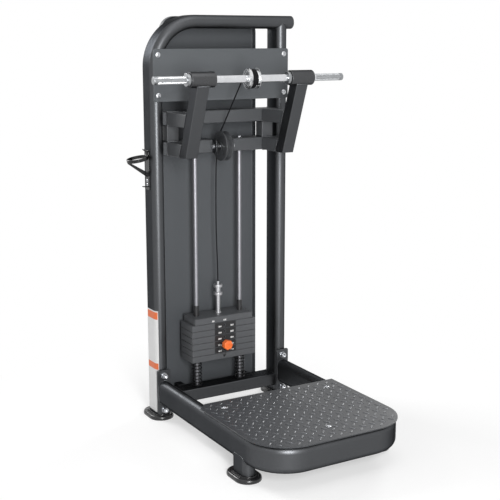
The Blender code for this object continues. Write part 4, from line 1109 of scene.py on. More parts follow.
@dataclass
class Welded(Assembly):
    """Assembly of painted tubes with weld ripples where they meet."""

    width: float = 0.050
    wall: float = 0.003
    bead_width: float = 0.0050
    bead_rise: float = 0.0018
    bead_spacing: float = 0.0026
    bead_rings: int = 4
    bead_sides: int = 8
    bead_seed: int = 3
    beads: list[list[Vector]] = field(default_factory=list)

    def ripple(self) -> Piece:
        """One flat drop of weld.

        Returns:
            The seed shape.
        """
        arch = arc(-math.pi / 2, math.pi / 2, self.bead_rings)[1:-1]
        profile = [(0.0, -0.5), *((math.cos(a) / 2, math.sin(a) / 2) for a in arch), (0.0, 0.5)]
        solid = Solid().lathe(profile, Vector(), UP, self.bead_sides)
        flat = Vector((self.bead_rise * 2, self.bead_width, self.bead_spacing * 1.9))
        for vert in solid.bm.verts:
            vert.co = vert.co * flat
        return solid.raw("ripple_seed")

    def welds(self, name: str) -> Piece:
        """Lay ripples along the loops gathered in beads.

        Args:
            name: name of the piece.

        Returns:
            The piece.
        """
        seed = self.ripple()
        obj = self.trees.beads.grow(name, line_mesh(self.beads, closed=True), Coat.FRAME, seed, Ripple=seed,
                                    Spacing=self.bead_spacing, Seed=self.bead_seed)
        return outfit(obj, Coat.FRAME)


def upright_plate(node: str, name: str, finish: Finish, corner: float, edge: float) -> Piece:
    """Upright plate that fills a node's box, with round corners.

    Args:
        node: node that it takes the place of.
        name: name of the piece.
        finish: its surface.
        corner: radius of its corners.
        edge: radius of its edges.

    Returns:
        The piece.
    """
    box = Box(node)
    solid = Solid().prism(box.outline("xz", [corner] * 4), Vector((0, box.high.y, 0)), RIGHT, UP, box.size.y)
    return solid.ship(name, finish, node, edge=edge)


@dataclass
class FrameTubes(Welded):
    """Flat-oval tubes, flanges and the beam's cap."""

    bend_radius: float = 0.170
    bend_steps: int = 40
    rail_corner: float = 0.130
    flange_corner: float = 0.006
    screw_heights: Pair = (0.180, 0.0395)
    fit: float = 0.0002
    cap_stations: tuple[Pair, ...] = ((0.0003, 0.0034), (0.0003, 0.0002), (0.0016, 0.0), (0.0026, 0.0004),
                                      (0.0036, 0.0015), (0.0044, 0.0034), (0.0049, 0.0065))

    def outlines(self, depth: float) -> tuple[Outline, Outline]:
        """Outside and bore of the tube with a given long side."""
        return flat_oval(self.width, depth), flat_oval(self.width - 2 * self.wall, depth - 2 * self.wall)

    def coped(self, node: str, top: Callable[[float, float], float]) -> Piece:
        """Upright tube whose top follows another tube.

        Args:
            node: node that it takes the place of.
            top: height of the cope at an offset (x, y) from the middle.

        Returns:
            The piece.
        """
        box = Box(node)
        rings = []
        for outline, way in zip(self.outlines(box.size.y), (1, -1)):
            foot = [Vector((box.middle.x + u, box.middle.y + v, box.low.z)) for u, v in outline]
            head = [Vector((box.middle.x + u, box.middle.y + v, top(u, v))) for u, v in outline]
            rings += [foot, head][::way]
        self.beads.append(rings[1])
        return Solid().loft(rings, closed=True).ship(node, Coat.FRAME, node)

    def main_tube(self) -> Piece:
        """Left upright bent into the top beam.

        Returns:
            The piece.
        """
        box, bend = Box("main_tube"), self.bend_radius
        x, z = box.low.x + self.width / 2, box.high.z - self.width / 2
        path = [(Vector((x, REAR, box.low.z)), UP)]
        for a in arc(math.pi, math.pi / 2, self.bend_steps):
            place = Vector((x + bend * (1 + math.cos(a)), REAR, z - bend * (1 - math.sin(a))))
            path.append((place, Vector((math.sin(a), 0, -math.cos(a)))))
        path.append((Vector((box.high.x, REAR, z)), RIGHT))
        tube = Solid().tube(*self.outlines(box.size.y), path, BACK)
        return tube.ship("frame_main_tube", Coat.FRAME, "main_tube")

    def right_upright(self) -> Piece:
        """Straight upright coped under the beam.

        Returns:
            The piece.
        """
        radius = self.width / 2
        straight = Box("right_upright").size.y / 2 - radius
        beam = Box("main_tube").high.z - self.width - self.fit
        return self.coped("right_upright", lambda u, v: beam + nose_drop(radius, v, straight))

    def front_post(self, side: Side) -> Piece:
        """Short leg coped to the rail's lower side."""
        rail, radius = Box("base_rail").low.z - self.fit, self.width / 2
        return self.coped("front_post_" + side.word, lambda u, v: rail + nose_drop(radius, u))

    def base_rail(self) -> Piece:
        """Rail on edge, bent to a U in front.

        Returns:
            The piece.
        """
        box, corner = Box("base_rail"), self.rail_corner
        x, y, z = box.high.x - self.width / 2, box.low.y + self.width / 2, box.middle.z
        path = [(Vector((x, box.high.y, z)), FORWARD)]
        for side, start in ((1, 0.0), (-1, -math.pi / 2)):
            for a in arc(start, start - math.pi / 2, self.bend_steps):
                place = Vector((side * (x - corner) + corner * math.cos(a), y + corner * (1 + math.sin(a)), z))
                path.append((place, Vector((math.sin(a), -math.cos(a), 0))))
        path.append((Vector((-x, box.high.y, z)), BACK))
        outer, inner = self.outlines(box.size.z)
        for sign in (-1, 1):
            self.beads.append([Vector((sign * x + u, box.high.y - 0.0008, z + v)) for u, v in outer])
        return Solid().tube(outer, inner, path, UP).ship("frame_base_rail", Coat.FRAME, "base_rail")

    def end_cap(self) -> Piece:
        """Domed plug in the beam's open end.

        Returns:
            The piece.
        """
        box, face = Box("beam_end_cap"), Box("main_tube").high.x
        ends = ((box.low.x - face, 0.0034), (box.high.x - face, 0.0110))
        rings = [set_ring(flat_oval(self.width - 2 * inset, box.size.y - 2 * inset),
                          Vector((face + along, REAR, box.middle.z)), RIGHT, BACK)
                 for along, inset in (ends[0], *self.cap_stations, ends[1])]
        return Solid().loft(rings).ship("beam_cap", Coat.PLASTIC, "beam_end_cap")

    def build(self) -> Iterable[Piece]:
        """Make the tubes, flanges, cap, screws and welds.

        Returns:
            The pieces.
        """
        yield self.main_tube()
        yield self.right_upright()
        yield self.base_rail()
        yield self.end_cap()
        for side in Side:
            node = "rail_flange_" + side.word
            yield upright_plate(node, node + "_plate", Coat.FRAME, self.flange_corner, 0.0012)
            yield self.front_post(side)
        front = Box("rail_flange_left").low.y
        x = Box("right_upright").high.x - self.width / 2
        stations = [(Vector((side.value * x, front, z)), FORWARD) for side in Side for z in self.screw_heights]
        yield self.heads("flange_screws", Fasteners(height=0.0130, socket=0.0050).cap(), stations)
        yield self.welds("frame_welds")


@dataclass
class Feet(Assembly):
    """Glossy boots with a round rim, a groove and a collar round the tube."""

    tube_width: float = 0.050
    tube_depth: float = 0.100
    stations: tuple[Pair, ...] = (
        (0.0003, 0.0060), (0.0003, 0.0194), (0.0010, 0.0200), (0.0062, 0.0200), (0.0072, 0.0194),
        (0.0076, 0.0182), (0.0080, 0.0150), (0.0090, 0.0138), (0.0108, 0.0138), (0.0122, 0.0150),
        (0.0138, 0.0162), (0.0160, 0.0166), (0.0185, 0.0162), (0.0208, 0.0148), (0.0226, 0.0124),
        (0.0237, 0.0094), (0.0240, 0.0060), (0.0238, 0.0020), (0.0230, 0.0006), (0.0216, 0.0))

    def build(self) -> Iterable[Piece]:
        """Make the four boots.

        Returns:
            The pieces.
        """
        for node in (f"foot_{end}_{side.word}" for end in ("rear", "front") for side in Side):
            middle = Box(node).middle
            rings = [[Vector((middle.x + u, middle.y + v, z))
                      for u, v in flat_oval(self.tube_width + 2 * border, self.tube_depth + 2 * border)]
                     for border, z in self.stations]
            yield Solid().loft(rings).ship(node + "_boot", Coat.RUBBER, node)


@dataclass
class StepPlate(Assembly):
    """Tread plate with raised lozenges, its screws and what carries it."""

    corner: float = 0.158
    cut: float = 0.037
    corner_steps: int = 24
    edge: float = 0.0008
    stud_length: float = 0.0270
    stud_width: float = 0.0078
    stud_height: float = 0.0015
    stud_sink: float = 0.0003
    stud_sides: int = 12
    pitch_across: float = 0.0428
    pitch_along: float = 0.0462
    border: float = 0.010
    columns: int = 17
    rows: int = 15
    turn: float = math.radians(45)
    screws: tuple[Pair, ...] = ((-0.224, -0.453), (0.230, -0.451), (0.001, -0.795))
    tube_wall: float = 0.003
    tab_thickness: float = 0.004

    def outline(self, inset: float = 0.0) -> Outline:
        """Outline of the plate from above.

        Args:
            inset: how far inside the edge.

        Returns:
            The outline.
        """
        box = Box("tread_plate")
        side, radius, back = box.high.x - inset, self.corner - inset, box.high.y - inset
        middle = box.low.y + self.corner
        points = [(sign * (side - radius) + radius * math.cos(a), middle + radius * math.sin(a))
                  for sign, start in ((-1, math.pi), (1, 1.5 * math.pi))
                  for a in arc(start, start + math.pi / 2, self.corner_steps)]
        return points + [(side, back), (self.cut - side, back), (-side, back - self.cut)]

    def stud(self) -> Piece:
        """One raised lozenge with pointed ends.

        Returns:
            The seed shape.
        """
        outline = [(math.copysign(abs(math.cos(a)) ** 0.85, math.cos(a)), math.sin(a))
                   for a in circle(self.stud_sides)]
        stations = ((1.0, -self.stud_sink), (0.90, self.stud_height * 0.55), (0.62, self.stud_height))
        rings = []
        for share, height in stations:
            long, wide = self.stud_length / 2 * (1 - (1 - share) * 0.45), self.stud_width / 2 * share
            rings.append([Vector((long * u, wide * v, height)) for u, v in outline])
        return Solid().loft(rings).raw("stud_seed")

    def pattern(self) -> Piece:
        """Lozenges over the whole plate.

        Returns:
            The piece.
        """
        box, seed = Box("tread_plate"), self.stud()
        points = self.outline(self.border + self.stud_length / 2 * math.sin(self.turn) * 0.35)
        screen = bpy.data.meshes.new("field")
        screen.from_pydata([(x, y, box.high.z - 0.010) for x, y in points], [], [tuple(range(len(points)))])
        # The lozenges take the lighter stud paint: partly wear, partly painted highlight.
        obj = self.trees.studs.grow("tread_pattern", screen, Coat.STUD, seed, Stud=seed, Turn=self.turn,
                                    Pitch_across=self.pitch_across, Pitch_along=self.pitch_along,
                                    Columns=self.columns, Rows=self.rows,
                                    Middle=Vector((0, box.middle.y, box.high.z)))
        return outfit(obj, Coat.STUD)

    def build(self) -> Iterable[Piece]:
        """Make the plate, its pattern and screws, the cross tube and the front tab.

        Returns:
            The pieces.
        """
        box = Box("tread_plate")
        plate = Solid().prism(self.outline(), Vector((0, 0, box.low.z)), RIGHT, BACK, box.size.z)
        yield plate.ship("step_plate", Coat.TREAD, "tread_plate", edge=self.edge)
        yield self.pattern()
        stations = [(Vector((x, y + REAR, box.high.z)), UP) for x, y in self.screws]
        yield self.heads("tread_screws", Fasteners(0.0095, 0.0032).button(), stations)
        box = Box("plate_cross_tube")
        path = [(Vector((x, box.middle.y, box.middle.z)), RIGHT) for x in (box.low.x, box.high.x)]
        outer, inner = (rounded_box(box.size.z - thin, box.size.y - thin, corner)
                        for thin, corner in ((0.0, 0.004), (2 * self.tube_wall, 0.0015)))
        yield Solid().tube(outer, inner, path, BACK).ship("step_cross_tube", Coat.FRAME, "plate_cross_tube")
        low, high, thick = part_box("plate_front_tab") + (self.tab_thickness,)
        profile = [(low.y, high.z), (low.y, low.z), (low.y + thick, low.z), (low.y + thick, high.z - thick),
                   (high.y, high.z - thick), (high.y, high.z)]
        rings = [[Vector((x, y, z)) for y, z in profile] for x in (low.x, high.x)]
        yield Solid().loft(rings).ship("step_front_tab", Coat.FRAME, "plate_front_tab", edge=0.0010)


@dataclass
class BarCarrier(Welded):
    """Crossbars, yoke posts, wings, leaning arms and bearing housings."""

    bar_corner: float = 0.005
    arm_corner: float = 0.0035
    least_corner: float = 0.0008
    arm_size: float = 0.050
    arm_lean: float = math.radians(20.55)
    arm_short: float = 0.013
    housing_round: float = 0.0025
    housing_bore: float = 0.0196
    fit: float = 0.0003
    bead_lift: float = 0.0008

    def crossbar(self, node: str) -> Piece:
        """One crossbar, coped where it meets an upright.

        Args:
            node: node that it takes the place of.

        Returns:
            The piece.
        """
        box, face, radius = Box(node), Box("right_upright").low.x, self.width / 2
        outlines = [rounded_box(box.size.y - 2 * thin, box.size.z - 2 * thin, self.bar_corner - thin)
                    for thin in (0.0, self.wall)]
        ends = []
        for x in (box.low.x, box.high.x):
            coped = abs(x) > face
            for outline in outlines:
                reaches = [math.copysign(face + nose_drop(radius, u, radius) - self.fit, x) if coped else x
                           for u, v in outline]
                ends.append([Vector((reach, box.middle.y + u, box.middle.z + v))
                             for reach, (u, v) in zip(reaches, outline)])
            if coped:
                self.beads.append(ends[-2])
        # The shaded lower crossbeam keeps the darker-rendering frame paint and the lit bars take the lighter
        # copy: painted shade and light chosen by part.
        coat = Coat.FRAME if node == "lower_crossbeam" else Coat.CARRIER
        return Solid().loft([ends[i] for i in (0, 2, 3, 1)], closed=True).ship(node + "_tube", coat, node)

    def square(self, thin: float = 0.0) -> Outline:
        """Outline of the square tube, or of its bore where thinned."""
        size = self.arm_size - 2 * thin
        return rounded_box(size, size, max(self.least_corner, self.arm_corner - thin))

    def yoke_post(self, side: Side) -> Piece:
        """Post between the crossbars.

        Args:
            side: side of the machine.

        Returns:
            The piece.
        """
        node = "yoke_post_" + side.word
        box = Box(node)
        path = [(Vector((box.middle.x, box.middle.y, z)), UP) for z in (box.low.z, box.high.z)]
        for z in (box.low.z + self.bead_lift, box.high.z - self.bead_lift):
            self.beads.append([Vector((box.middle.x + u, box.middle.y + v, z)) for u, v in self.square()])
        tube = Solid().tube(self.square(), self.square(self.wall), path, BACK)
        return tube.ship(node + "_tube", Coat.CARRIER, node)

    def wing(self, node: str) -> Piece:
        """Tube from a crossbar forward to the leaning arm.

        Args:
            node: node that it takes the place of.

        Returns:
            The piece.
        """
        box, rings = Box(node), []
        face = BAR_AXIS.y + self.arm_size / math.cos(self.arm_lean) / 2 + self.fit
        slope = math.tan(self.arm_lean)
        for outline, way in ((self.square(), 1), (self.square(self.wall), -1)):
            back = [Vector((box.middle.x + u, box.high.y, box.middle.z + v)) for u, v in outline]
            front = [Vector((point.x, face - slope * (point.z - BAR_AXIS.z), point.z)) for point in back]
            rings += [back, front][::way]
        for ring, way in zip(rings, (FORWARD, BACK)):
            self.beads.append([point + way * self.bead_lift for point in ring])
        return Solid().loft(rings, closed=True).ship(node + "_tube", Coat.CARRIER, node)

    def arm(self, side: Side) -> Piece:
        """Leaning arm, closed at its foot and cut square under the housing.

        Args:
            side: side of the machine.

        Returns:
            The piece.
        """
        node = "arm_" + side.word
        box = Box(node)
        axis = Vector((0, -math.sin(self.arm_lean), math.cos(self.arm_lean)))
        across = Vector((0, math.cos(self.arm_lean), math.sin(self.arm_lean)))
        head = Vector((box.middle.x, BAR_AXIS.y, BAR_AXIS.z)) - axis * self.arm_short
        top = [head + RIGHT * u + across * v for u, v in self.square()]
        foot = [point - axis * ((point.z - box.low.z) / axis.z) for point in top]
        self.beads.append([point - axis * 0.004 for point in top])
        return Solid().loft([foot, top]).ship(node + "_tube", Coat.FRAME, node, edge=0.0015)

    def housing(self, side: Side) -> Piece:
        """Bearing housing across the arm's head.

        Args:
            side: side of the machine.

        Returns:
            The piece.
        """
        node = "bearing_housing_" + side.word
        box, bore = Box(node), self.housing_bore
        half = box.size.x / 2
        rim = round_edge(box.size.z / 2, half, self.housing_round, arc(math.pi / 2, 0.0, 3), -1)
        profile = both_halves([*rim, (bore + 0.001, half), (bore, half - 0.001)])
        return Solid().lathe(profile, box.middle, RIGHT, 64, bored=True).ship(node + "_tube", Coat.BLACK, node)

    def build(self) -> Iterable[Piece]:
        """Make the carrier.

        Returns:
            The pieces.
        """
        for node in ("lower_crossbeam", "upper_crossbar", "lower_crossbar_left", "lower_crossbar_right"):
            yield self.crossbar(node)
        for side in Side:
            yield self.yoke_post(side)
            for level in ("upper", "lower"):
                yield self.wing(f"{level}_wing_{side.word}")
            yield self.arm(side)
            yield self.housing(side)
        yield self.welds("carrier_welds")


@dataclass
class GripBar(Assembly):
    """Bar with its knurled grips, sleeves, collars and cable drum."""

    groove_width: float = 0.002
    groove_depth: float = 0.001
    end_length: float = 0.013
    knurl_start: float = 0.2745
    knurl_gap: float = 0.003
    knurl_rows: int = 60
    knurl_around: int = 46
    knurl_depth: float = 0.0006
    bore: float = 0.0143
    sleeve_wall: float = 0.005
    collar_length: float = 0.012
    screw_angles: Pair = (115.0, 235.0)
    screw_sink: float = 0.0014
    drum_round: float = 0.0011
    drum_rim: float = 0.0055
    drum_core: float = 0.0298
    drum_hub: float = 0.0205
    drum_steps: int = 8

    def middle(self) -> Piece:
        """Smooth middle of the bar.

        Returns:
            The piece.
        """
        radius, start = Box("grip_bar").size.z / 2, self.knurl_start
        profile = both_halves([(radius, start - 0.0009), (radius - 0.0004, start - 0.0003),
                               (radius - self.knurl_depth, start), (0.0, start)])
        bar = Solid().lathe(profile, BAR_AXIS, RIGHT, 64)
        return bar.ship("grip_bar_middle", Coat.CHROME, "grip_bar", body=Body.BAR)

    def grip_core(self, side: Side) -> Piece:
        """Core under one knurled grip, with the plain end and its groove.

        Args:
            side: side of the machine.

        Returns:
            The piece.
        """
        size = Box("grip_bar").size
        radius, half = size.z / 2, size.x / 2
        core, waist, groove = radius - self.knurl_depth, radius - self.groove_depth, half - self.end_length
        profile = [(0.0, self.knurl_start), (core, self.knurl_start), (core, groove - self.groove_width),
                   (waist, groove - self.groove_width), (waist, groove), (radius - 0.0003, groove),
                   (radius, groove + 0.0003), (radius, half - 0.0020), (radius - 0.0006, half - 0.0008),
                   (radius - 0.0020, half), (0.0, half)]
        end = Solid().lathe(profile, BAR_AXIS, RIGHT * side.value, 64)
        return end.ship("grip_end_" + side.word, Coat.BAR_END, body=Body.BAR)

    def knurl(self, side: Side) -> Piece:
        """Diamond points of one grip.

        Args:
            side: side of the machine.

        Returns:
            The piece.
        """
        size = Box("grip_bar").size
        length = size.x / 2 - self.end_length - self.groove_width - self.knurl_gap - self.knurl_start
        long = length / (self.knurl_rows - 1) * 0.98
        wide = math.pi * size.z / 2 / self.knurl_around * 1.02
        foot = [Vector((long * math.cos(a), wide * math.sin(a), -0.0002)) for a in circle(4)]
        tip = [Vector((point.x * 0.12, point.y * 0.12, self.knurl_depth * 0.98)) for point in foot]
        seed = Solid().loft([foot, tip]).raw("knurl_seed")
        start = self.knurl_start + 0.0012
        obj = self.trees.knurl.grow("grip_knurl_" + side.word, line_mesh([[Vector()]]), Coat.KNURL, seed,
                                    Point=seed, Start=start if side is Side.RIGHT else -start - length,
                                    Length=length, Radius=size.z / 2 - self.knurl_depth, Rows=self.knurl_rows,
                                    Around=self.knurl_around, Centre=BAR_AXIS)
        return outfit(obj, Coat.KNURL, body=Body.BAR)

    def sleeve(self, side: Side) -> Piece:
        """Bearing sleeve with its stop collar.

        Args:
            side: side of the machine.

        Returns:
            The piece.
        """
        node = "bearing_sleeve_" + side.word
        box, bore, sleeve = Box(node), self.bore, self.bore + self.sleeve_wall
        collar, start, end, face = box.size.z / 2, box.low.x, box.high.x, box.low.x + self.collar_length
        profile = [(bore, start), (collar - 0.0014, start), (collar - 0.0004, start + 0.0004),
                   (collar, start + 0.0014), (collar, face - 0.0010), (collar - 0.0010, face), (sleeve, face),
                   (sleeve, end - 0.0006), (sleeve - 0.0006, end), (bore, end)]
        solid = Solid().lathe(profile, Vector((0, BAR_AXIS.y, BAR_AXIS.z)), RIGHT, 56, bored=True)
        return solid.ship(node + "_ring", Coat.BAR_END, node, body=Body.BAR)

    def drum(self) -> Piece:
        """Two dished discs on a core.

        Returns:
            The piece.
        """
        box = Box("cable_drum")
        rim, outer, hub, r = box.size.z / 2, box.high.x, self.drum_hub, self.drum_round
        inner = outer - self.drum_rim
        lip = inner + 2 * r - 0.0018
        right = [(self.drum_core, inner), *round_edge(rim, inner, r, (0.0, 0.4, 0.8, 1.2))]
        for k in range(self.drum_steps, -1, -1):
            share = k / self.drum_steps
            right.append((hub + (rim - 0.0006 - hub) * share, lip + (outer - lip) * (1 - share ** 1.5)))
        right += [(hub - 0.001, outer - 0.0006), (self.bore, outer - 0.0006)]
        discs = Solid().lathe(both_halves(right), BAR_AXIS, RIGHT, 72, bored=True)
        return discs.ship("cable_drum_discs", Coat.DRUM, "cable_drum", body=Body.BAR)

    def build(self) -> Iterable[Piece]:
        """Make everything that turns with the bar.

        Returns:
            The pieces.
        """
        yield self.middle()
        stations = []
        for side in Side:
            yield self.grip_core(side)
            yield self.knurl(side)
            yield self.sleeve(side)
            box = Box("bearing_sleeve_" + side.word)
            seat = Vector((box.low.x + self.collar_length / 2, BAR_AXIS.y, BAR_AXIS.z))
            for out in (spoke(math.radians(angle)) for angle in self.screw_angles):
                stations.append((seat + out * (box.size.z / 2 - self.screw_sink), out))
        yield self.drum()
        yield self.heads("collar_screws", Fasteners(0.0030, 0.0016, 0.0013).button(), stations, Body.BAR)


@dataclass
class Cable(Assembly):
    """Cable from the drum over the guide pulley down to the stack."""

    diameter: float = 0.005
    drum_radius: float = 0.033
    drum_opening: float = 0.033
    pulley_radius: float = 0.050
    turns: float = 3.5
    pitch: float = 0.006
    steps: int = 40
    wrap_steps: int = 16
    sides: int = 14
    slack: float = 0.0065
    slack_points: tuple[Pair, ...] = ((0.0, 0.0), (0.012, 0.010), (0.10, 0.42), (0.25, 0.86), (0.45, 1.0),
                                      (0.62, 0.88), (0.76, 0.52), (0.88, 0.16), (0.96, 0.02), (1.0, 0.0))
    slack_spacing: float = 0.008

    def run(self) -> Piece:
        """Winding on the drum, the leaning run and the turn over the pulley.

        Returns:
            The piece.
        """
        line = BAR_AXIS - PULLEY_AXIS
        along = line.normalized()
        share = (self.pulley_radius - self.drum_radius) / line.length
        normal = along * share + Vector((0, along.z, -along.y)) * math.sqrt(1 - share * share)
        angle = math.atan2(normal.z, normal.y)
        first = (self.diameter - self.drum_opening) / 2
        wound = []
        for k in range(round(self.turns * self.steps) + 1):
            turn = k / self.steps
            reach = RIGHT * (first + self.pitch * turn) + spoke(angle + 2 * math.pi * turn) * self.drum_radius
            wound.append(BAR_AXIS + reach)
        start, end = wound[0], wound[-1]
        leave = PULLEY_AXIS + normal * self.pulley_radius
        hidden = Vector((self.drum_opening / 2 - 0.0003, end.y, end.z + 0.002))
        points = [hidden, end + Vector((0.0015, 0, 0.002)), *wound[::-1], (start * 2 + leave) / 3,
                  (start + leave * 2) / 3, leave]
        wrap = arc(angle, 0.0, self.wrap_steps)[1:]
        points += [PULLEY_AXIS + spoke(turn) * self.pulley_radius for turn in wrap]
        nodes = ["drum_winding", "cable_upper"]
        return self.rope("cable_run", [points], Coat.CABLE, self.diameter, self.sides, nodes)

    def drop(self) -> Piece:
        """Slightly slack run from the pulley to the selector.

        Returns:
            The piece.
        """
        box = Box("cable_lower")
        top, length = box.high.z, box.size.z
        route = [Vector((-self.slack * bow, REAR, top - length * share)) for share, bow in self.slack_points]
        obj = self.rope("cable_drop", [smooth_route(route, self.slack_spacing)], Coat.CABLE, self.diameter,
                        self.sides, ["cable_lower"])
        joint = next(joint for joint in frame["joints"] if joint["name"] == "stack_lift")
        travel = max(map(abs, joint["range_m"]))
        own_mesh(obj)
        return obj

    def build(self) -> Iterable[Piece]:
        """Make both runs."""
        yield self.run()
        yield self.drop()


@dataclass
class GuidePulley(Assembly):
    """Grooved pulley, its bearing, axle and side plates."""

    width: float = 0.031
    pitch_radius: float = 0.050
    flange: float = 0.0075
    rim: float = 0.012
    web: float = 0.0275
    hub_radius: float = 0.016
    bearing_radius: float = 0.0125
    axle_radius: float = 0.006
    spacer_wall: float = 0.003
    groove_mouth: float = 0.009
    cable_radius: float = 0.0025
    head_radius: float = 0.010
    head_length: float = 0.008
    plate_corners: tuple[float, ...] = (0.003, 0.003, 0.012, 0.012)

    def wheel(self) -> Piece:
        """Moulded wheel.

        Returns:
            The piece.
        """
        half, web, hub, bearing = self.width / 2, self.web / 2, self.hub_radius, self.bearing_radius
        outer = self.pitch_radius + self.flange
        seat = self.pitch_radius - self.cable_radius - 0.0003
        inner = outer - self.rim - self.flange
        right = [(seat, 0.0), (seat + 0.0004, 0.0016), (self.pitch_radius - 0.0003, 0.0031),
                 (outer - 0.0012, self.groove_mouth - 0.0006), (outer, self.groove_mouth + 0.0006),
                 (outer, half - 0.0022), (outer - 0.0007, half - 0.0007), (outer - 0.0022, half),
                 (inner + 0.0010, half), (inner, half - 0.0012), (inner - 0.0008, web + 0.0014),
                 (inner - 0.0022, web), (hub + 0.0016, web), (hub, web + 0.0016), (hub, half - 0.0010),
                 (hub - 0.0010, half), (bearing, half), (bearing, half - 0.0012)]
        solid = Solid().lathe(both_halves(right), PULLEY_AXIS, RIGHT, 72, bored=True)
        return solid.ship("pulley_wheel", Coat.WHEEL, "guide_pulley", body=Body.PULLEY)

    def bearing(self) -> Piece:
        """Steel bearing in the hub.

        Returns:
            The piece.
        """
        race, axle, half = self.bearing_radius, self.axle_radius, self.width / 2 - 0.0014
        shield = half - 0.0006
        right = [(race - 0.0001, half), (race - 0.0016, half), (race - 0.0018, shield), (axle + 0.0022, shield),
                 (axle + 0.0020, half), (axle + 0.0004, half)]
        solid = Solid().lathe(both_halves(right), PULLEY_AXIS, RIGHT, 48, bored=True)
        return solid.ship("pulley_bearing", Coat.ZINC, body=Body.PULLEY)

    def axle(self) -> Piece:
        """Axle bolt with spacers and heads.

        Returns:
            The piece.
        """
        plate, r, head = Box("pulley_plate_right"), self.axle_radius, self.head_radius
        start, stop, spacer = self.width / 2 + 0.0006, plate.low.x - 0.0003, r + self.spacer_wall
        face = plate.high.x + 0.0003
        end = face + self.head_length
        right = [(r, start), (spacer - 0.0004, start), (spacer, start + 0.0004), (spacer, stop), (r, stop),
                 (r, face), (head, face), (head, face + 0.0016), (head - 0.0012, face + 0.0018),
                 (head - 0.0012, end - 0.0010), (head - 0.0022, end), (0.0, end)]
        bolt = Solid().lathe(both_halves(right), PULLEY_AXIS, RIGHT, 48)
        return bolt.ship("pulley_bolt", Coat.ZINC, "pulley_axle")

    def build(self) -> Iterable[Piece]:
        """Make the pulley and the plates that hold it.

        Returns:
            The pieces.
        """
        yield self.wheel()
        yield self.bearing()
        yield self.axle()
        for side in Side:
            node = "pulley_plate_" + side.word
            box = Box(node)
            outline = box.outline("yz", self.plate_corners)
            solid = Solid().prism(outline, Vector((box.low.x, 0, 0)), BACK, UP, box.size.x)
            yield solid.ship(node + "_sheet", Coat.FRAME, node, edge=0.0008)


@dataclass
class GuideRods(Assembly):
    """Chromed rods that the stack slides on, and the springs under it."""

    chamfer: float = 0.0015
    nut_radius: float = 0.0085
    nut_height: float = 0.0085
    spring_turns: float = 9.0
    dead_turns: float = 0.9
    wire: float = 0.0045
    points: int = 330

    def rod(self, node: str) -> Piece:
        """One guide rod.

        Args:
            node: node that it takes the place of.

        Returns:
            The piece.
        """
        box, c = Box(node), self.chamfer
        radius, low, high = box.size.x / 2, box.low.z, box.high.z
        profile = [(0.0, low), (radius - c, low), (radius, low + c), (radius, high - c),
                   (radius - 0.4 * c, high - 0.3 * c), (radius - c, high), (0.0, high)]
        origin = Vector((box.middle.x, box.middle.y, 0))
        # The rods take the darkened chrome, which is painted shade.
        return Solid().lathe(profile, origin, UP, 40).ship(node + "_bar", Coat.ROD, node)

    def spring(self, node: str, x: float) -> Piece:
        """One compression spring.

        Args:
            node: node that it takes the place of.
            x: place across the machine.

        Returns:
            The piece.
        """
        box = Box(node)
        obj = self.trees.coil.grow(node + "_coil", line_mesh([[Vector()]]), Coat.SPRING,
                                   Turns=self.spring_turns, Radius=(box.size.y - self.wire) / 2,
                                   Low=box.low.z, High=box.high.z, Wire=self.wire, Points=self.points,
                                   Dead_turns=self.dead_turns, Across=Vector((x, REAR, 0)))
        return outfit(obj, Coat.SPRING, [node])

    def build(self) -> Iterable[Piece]:
        """Make rods, springs and the screws over the rods.

        Returns:
            The pieces.
        """
        stations = []
        for side in Side:
            node = "guide_rod_" + side.word
            middle = Box(node).middle
            yield self.rod(node)
            yield self.spring("spring_" + side.word, middle.x)
            stations.append((Vector((middle.x, middle.y, Box("lower_crossbar_left").high.z + 0.0002)), UP))
        yield self.heads("rod_screws", Fasteners(self.nut_radius, self.nut_height).button(), stations)


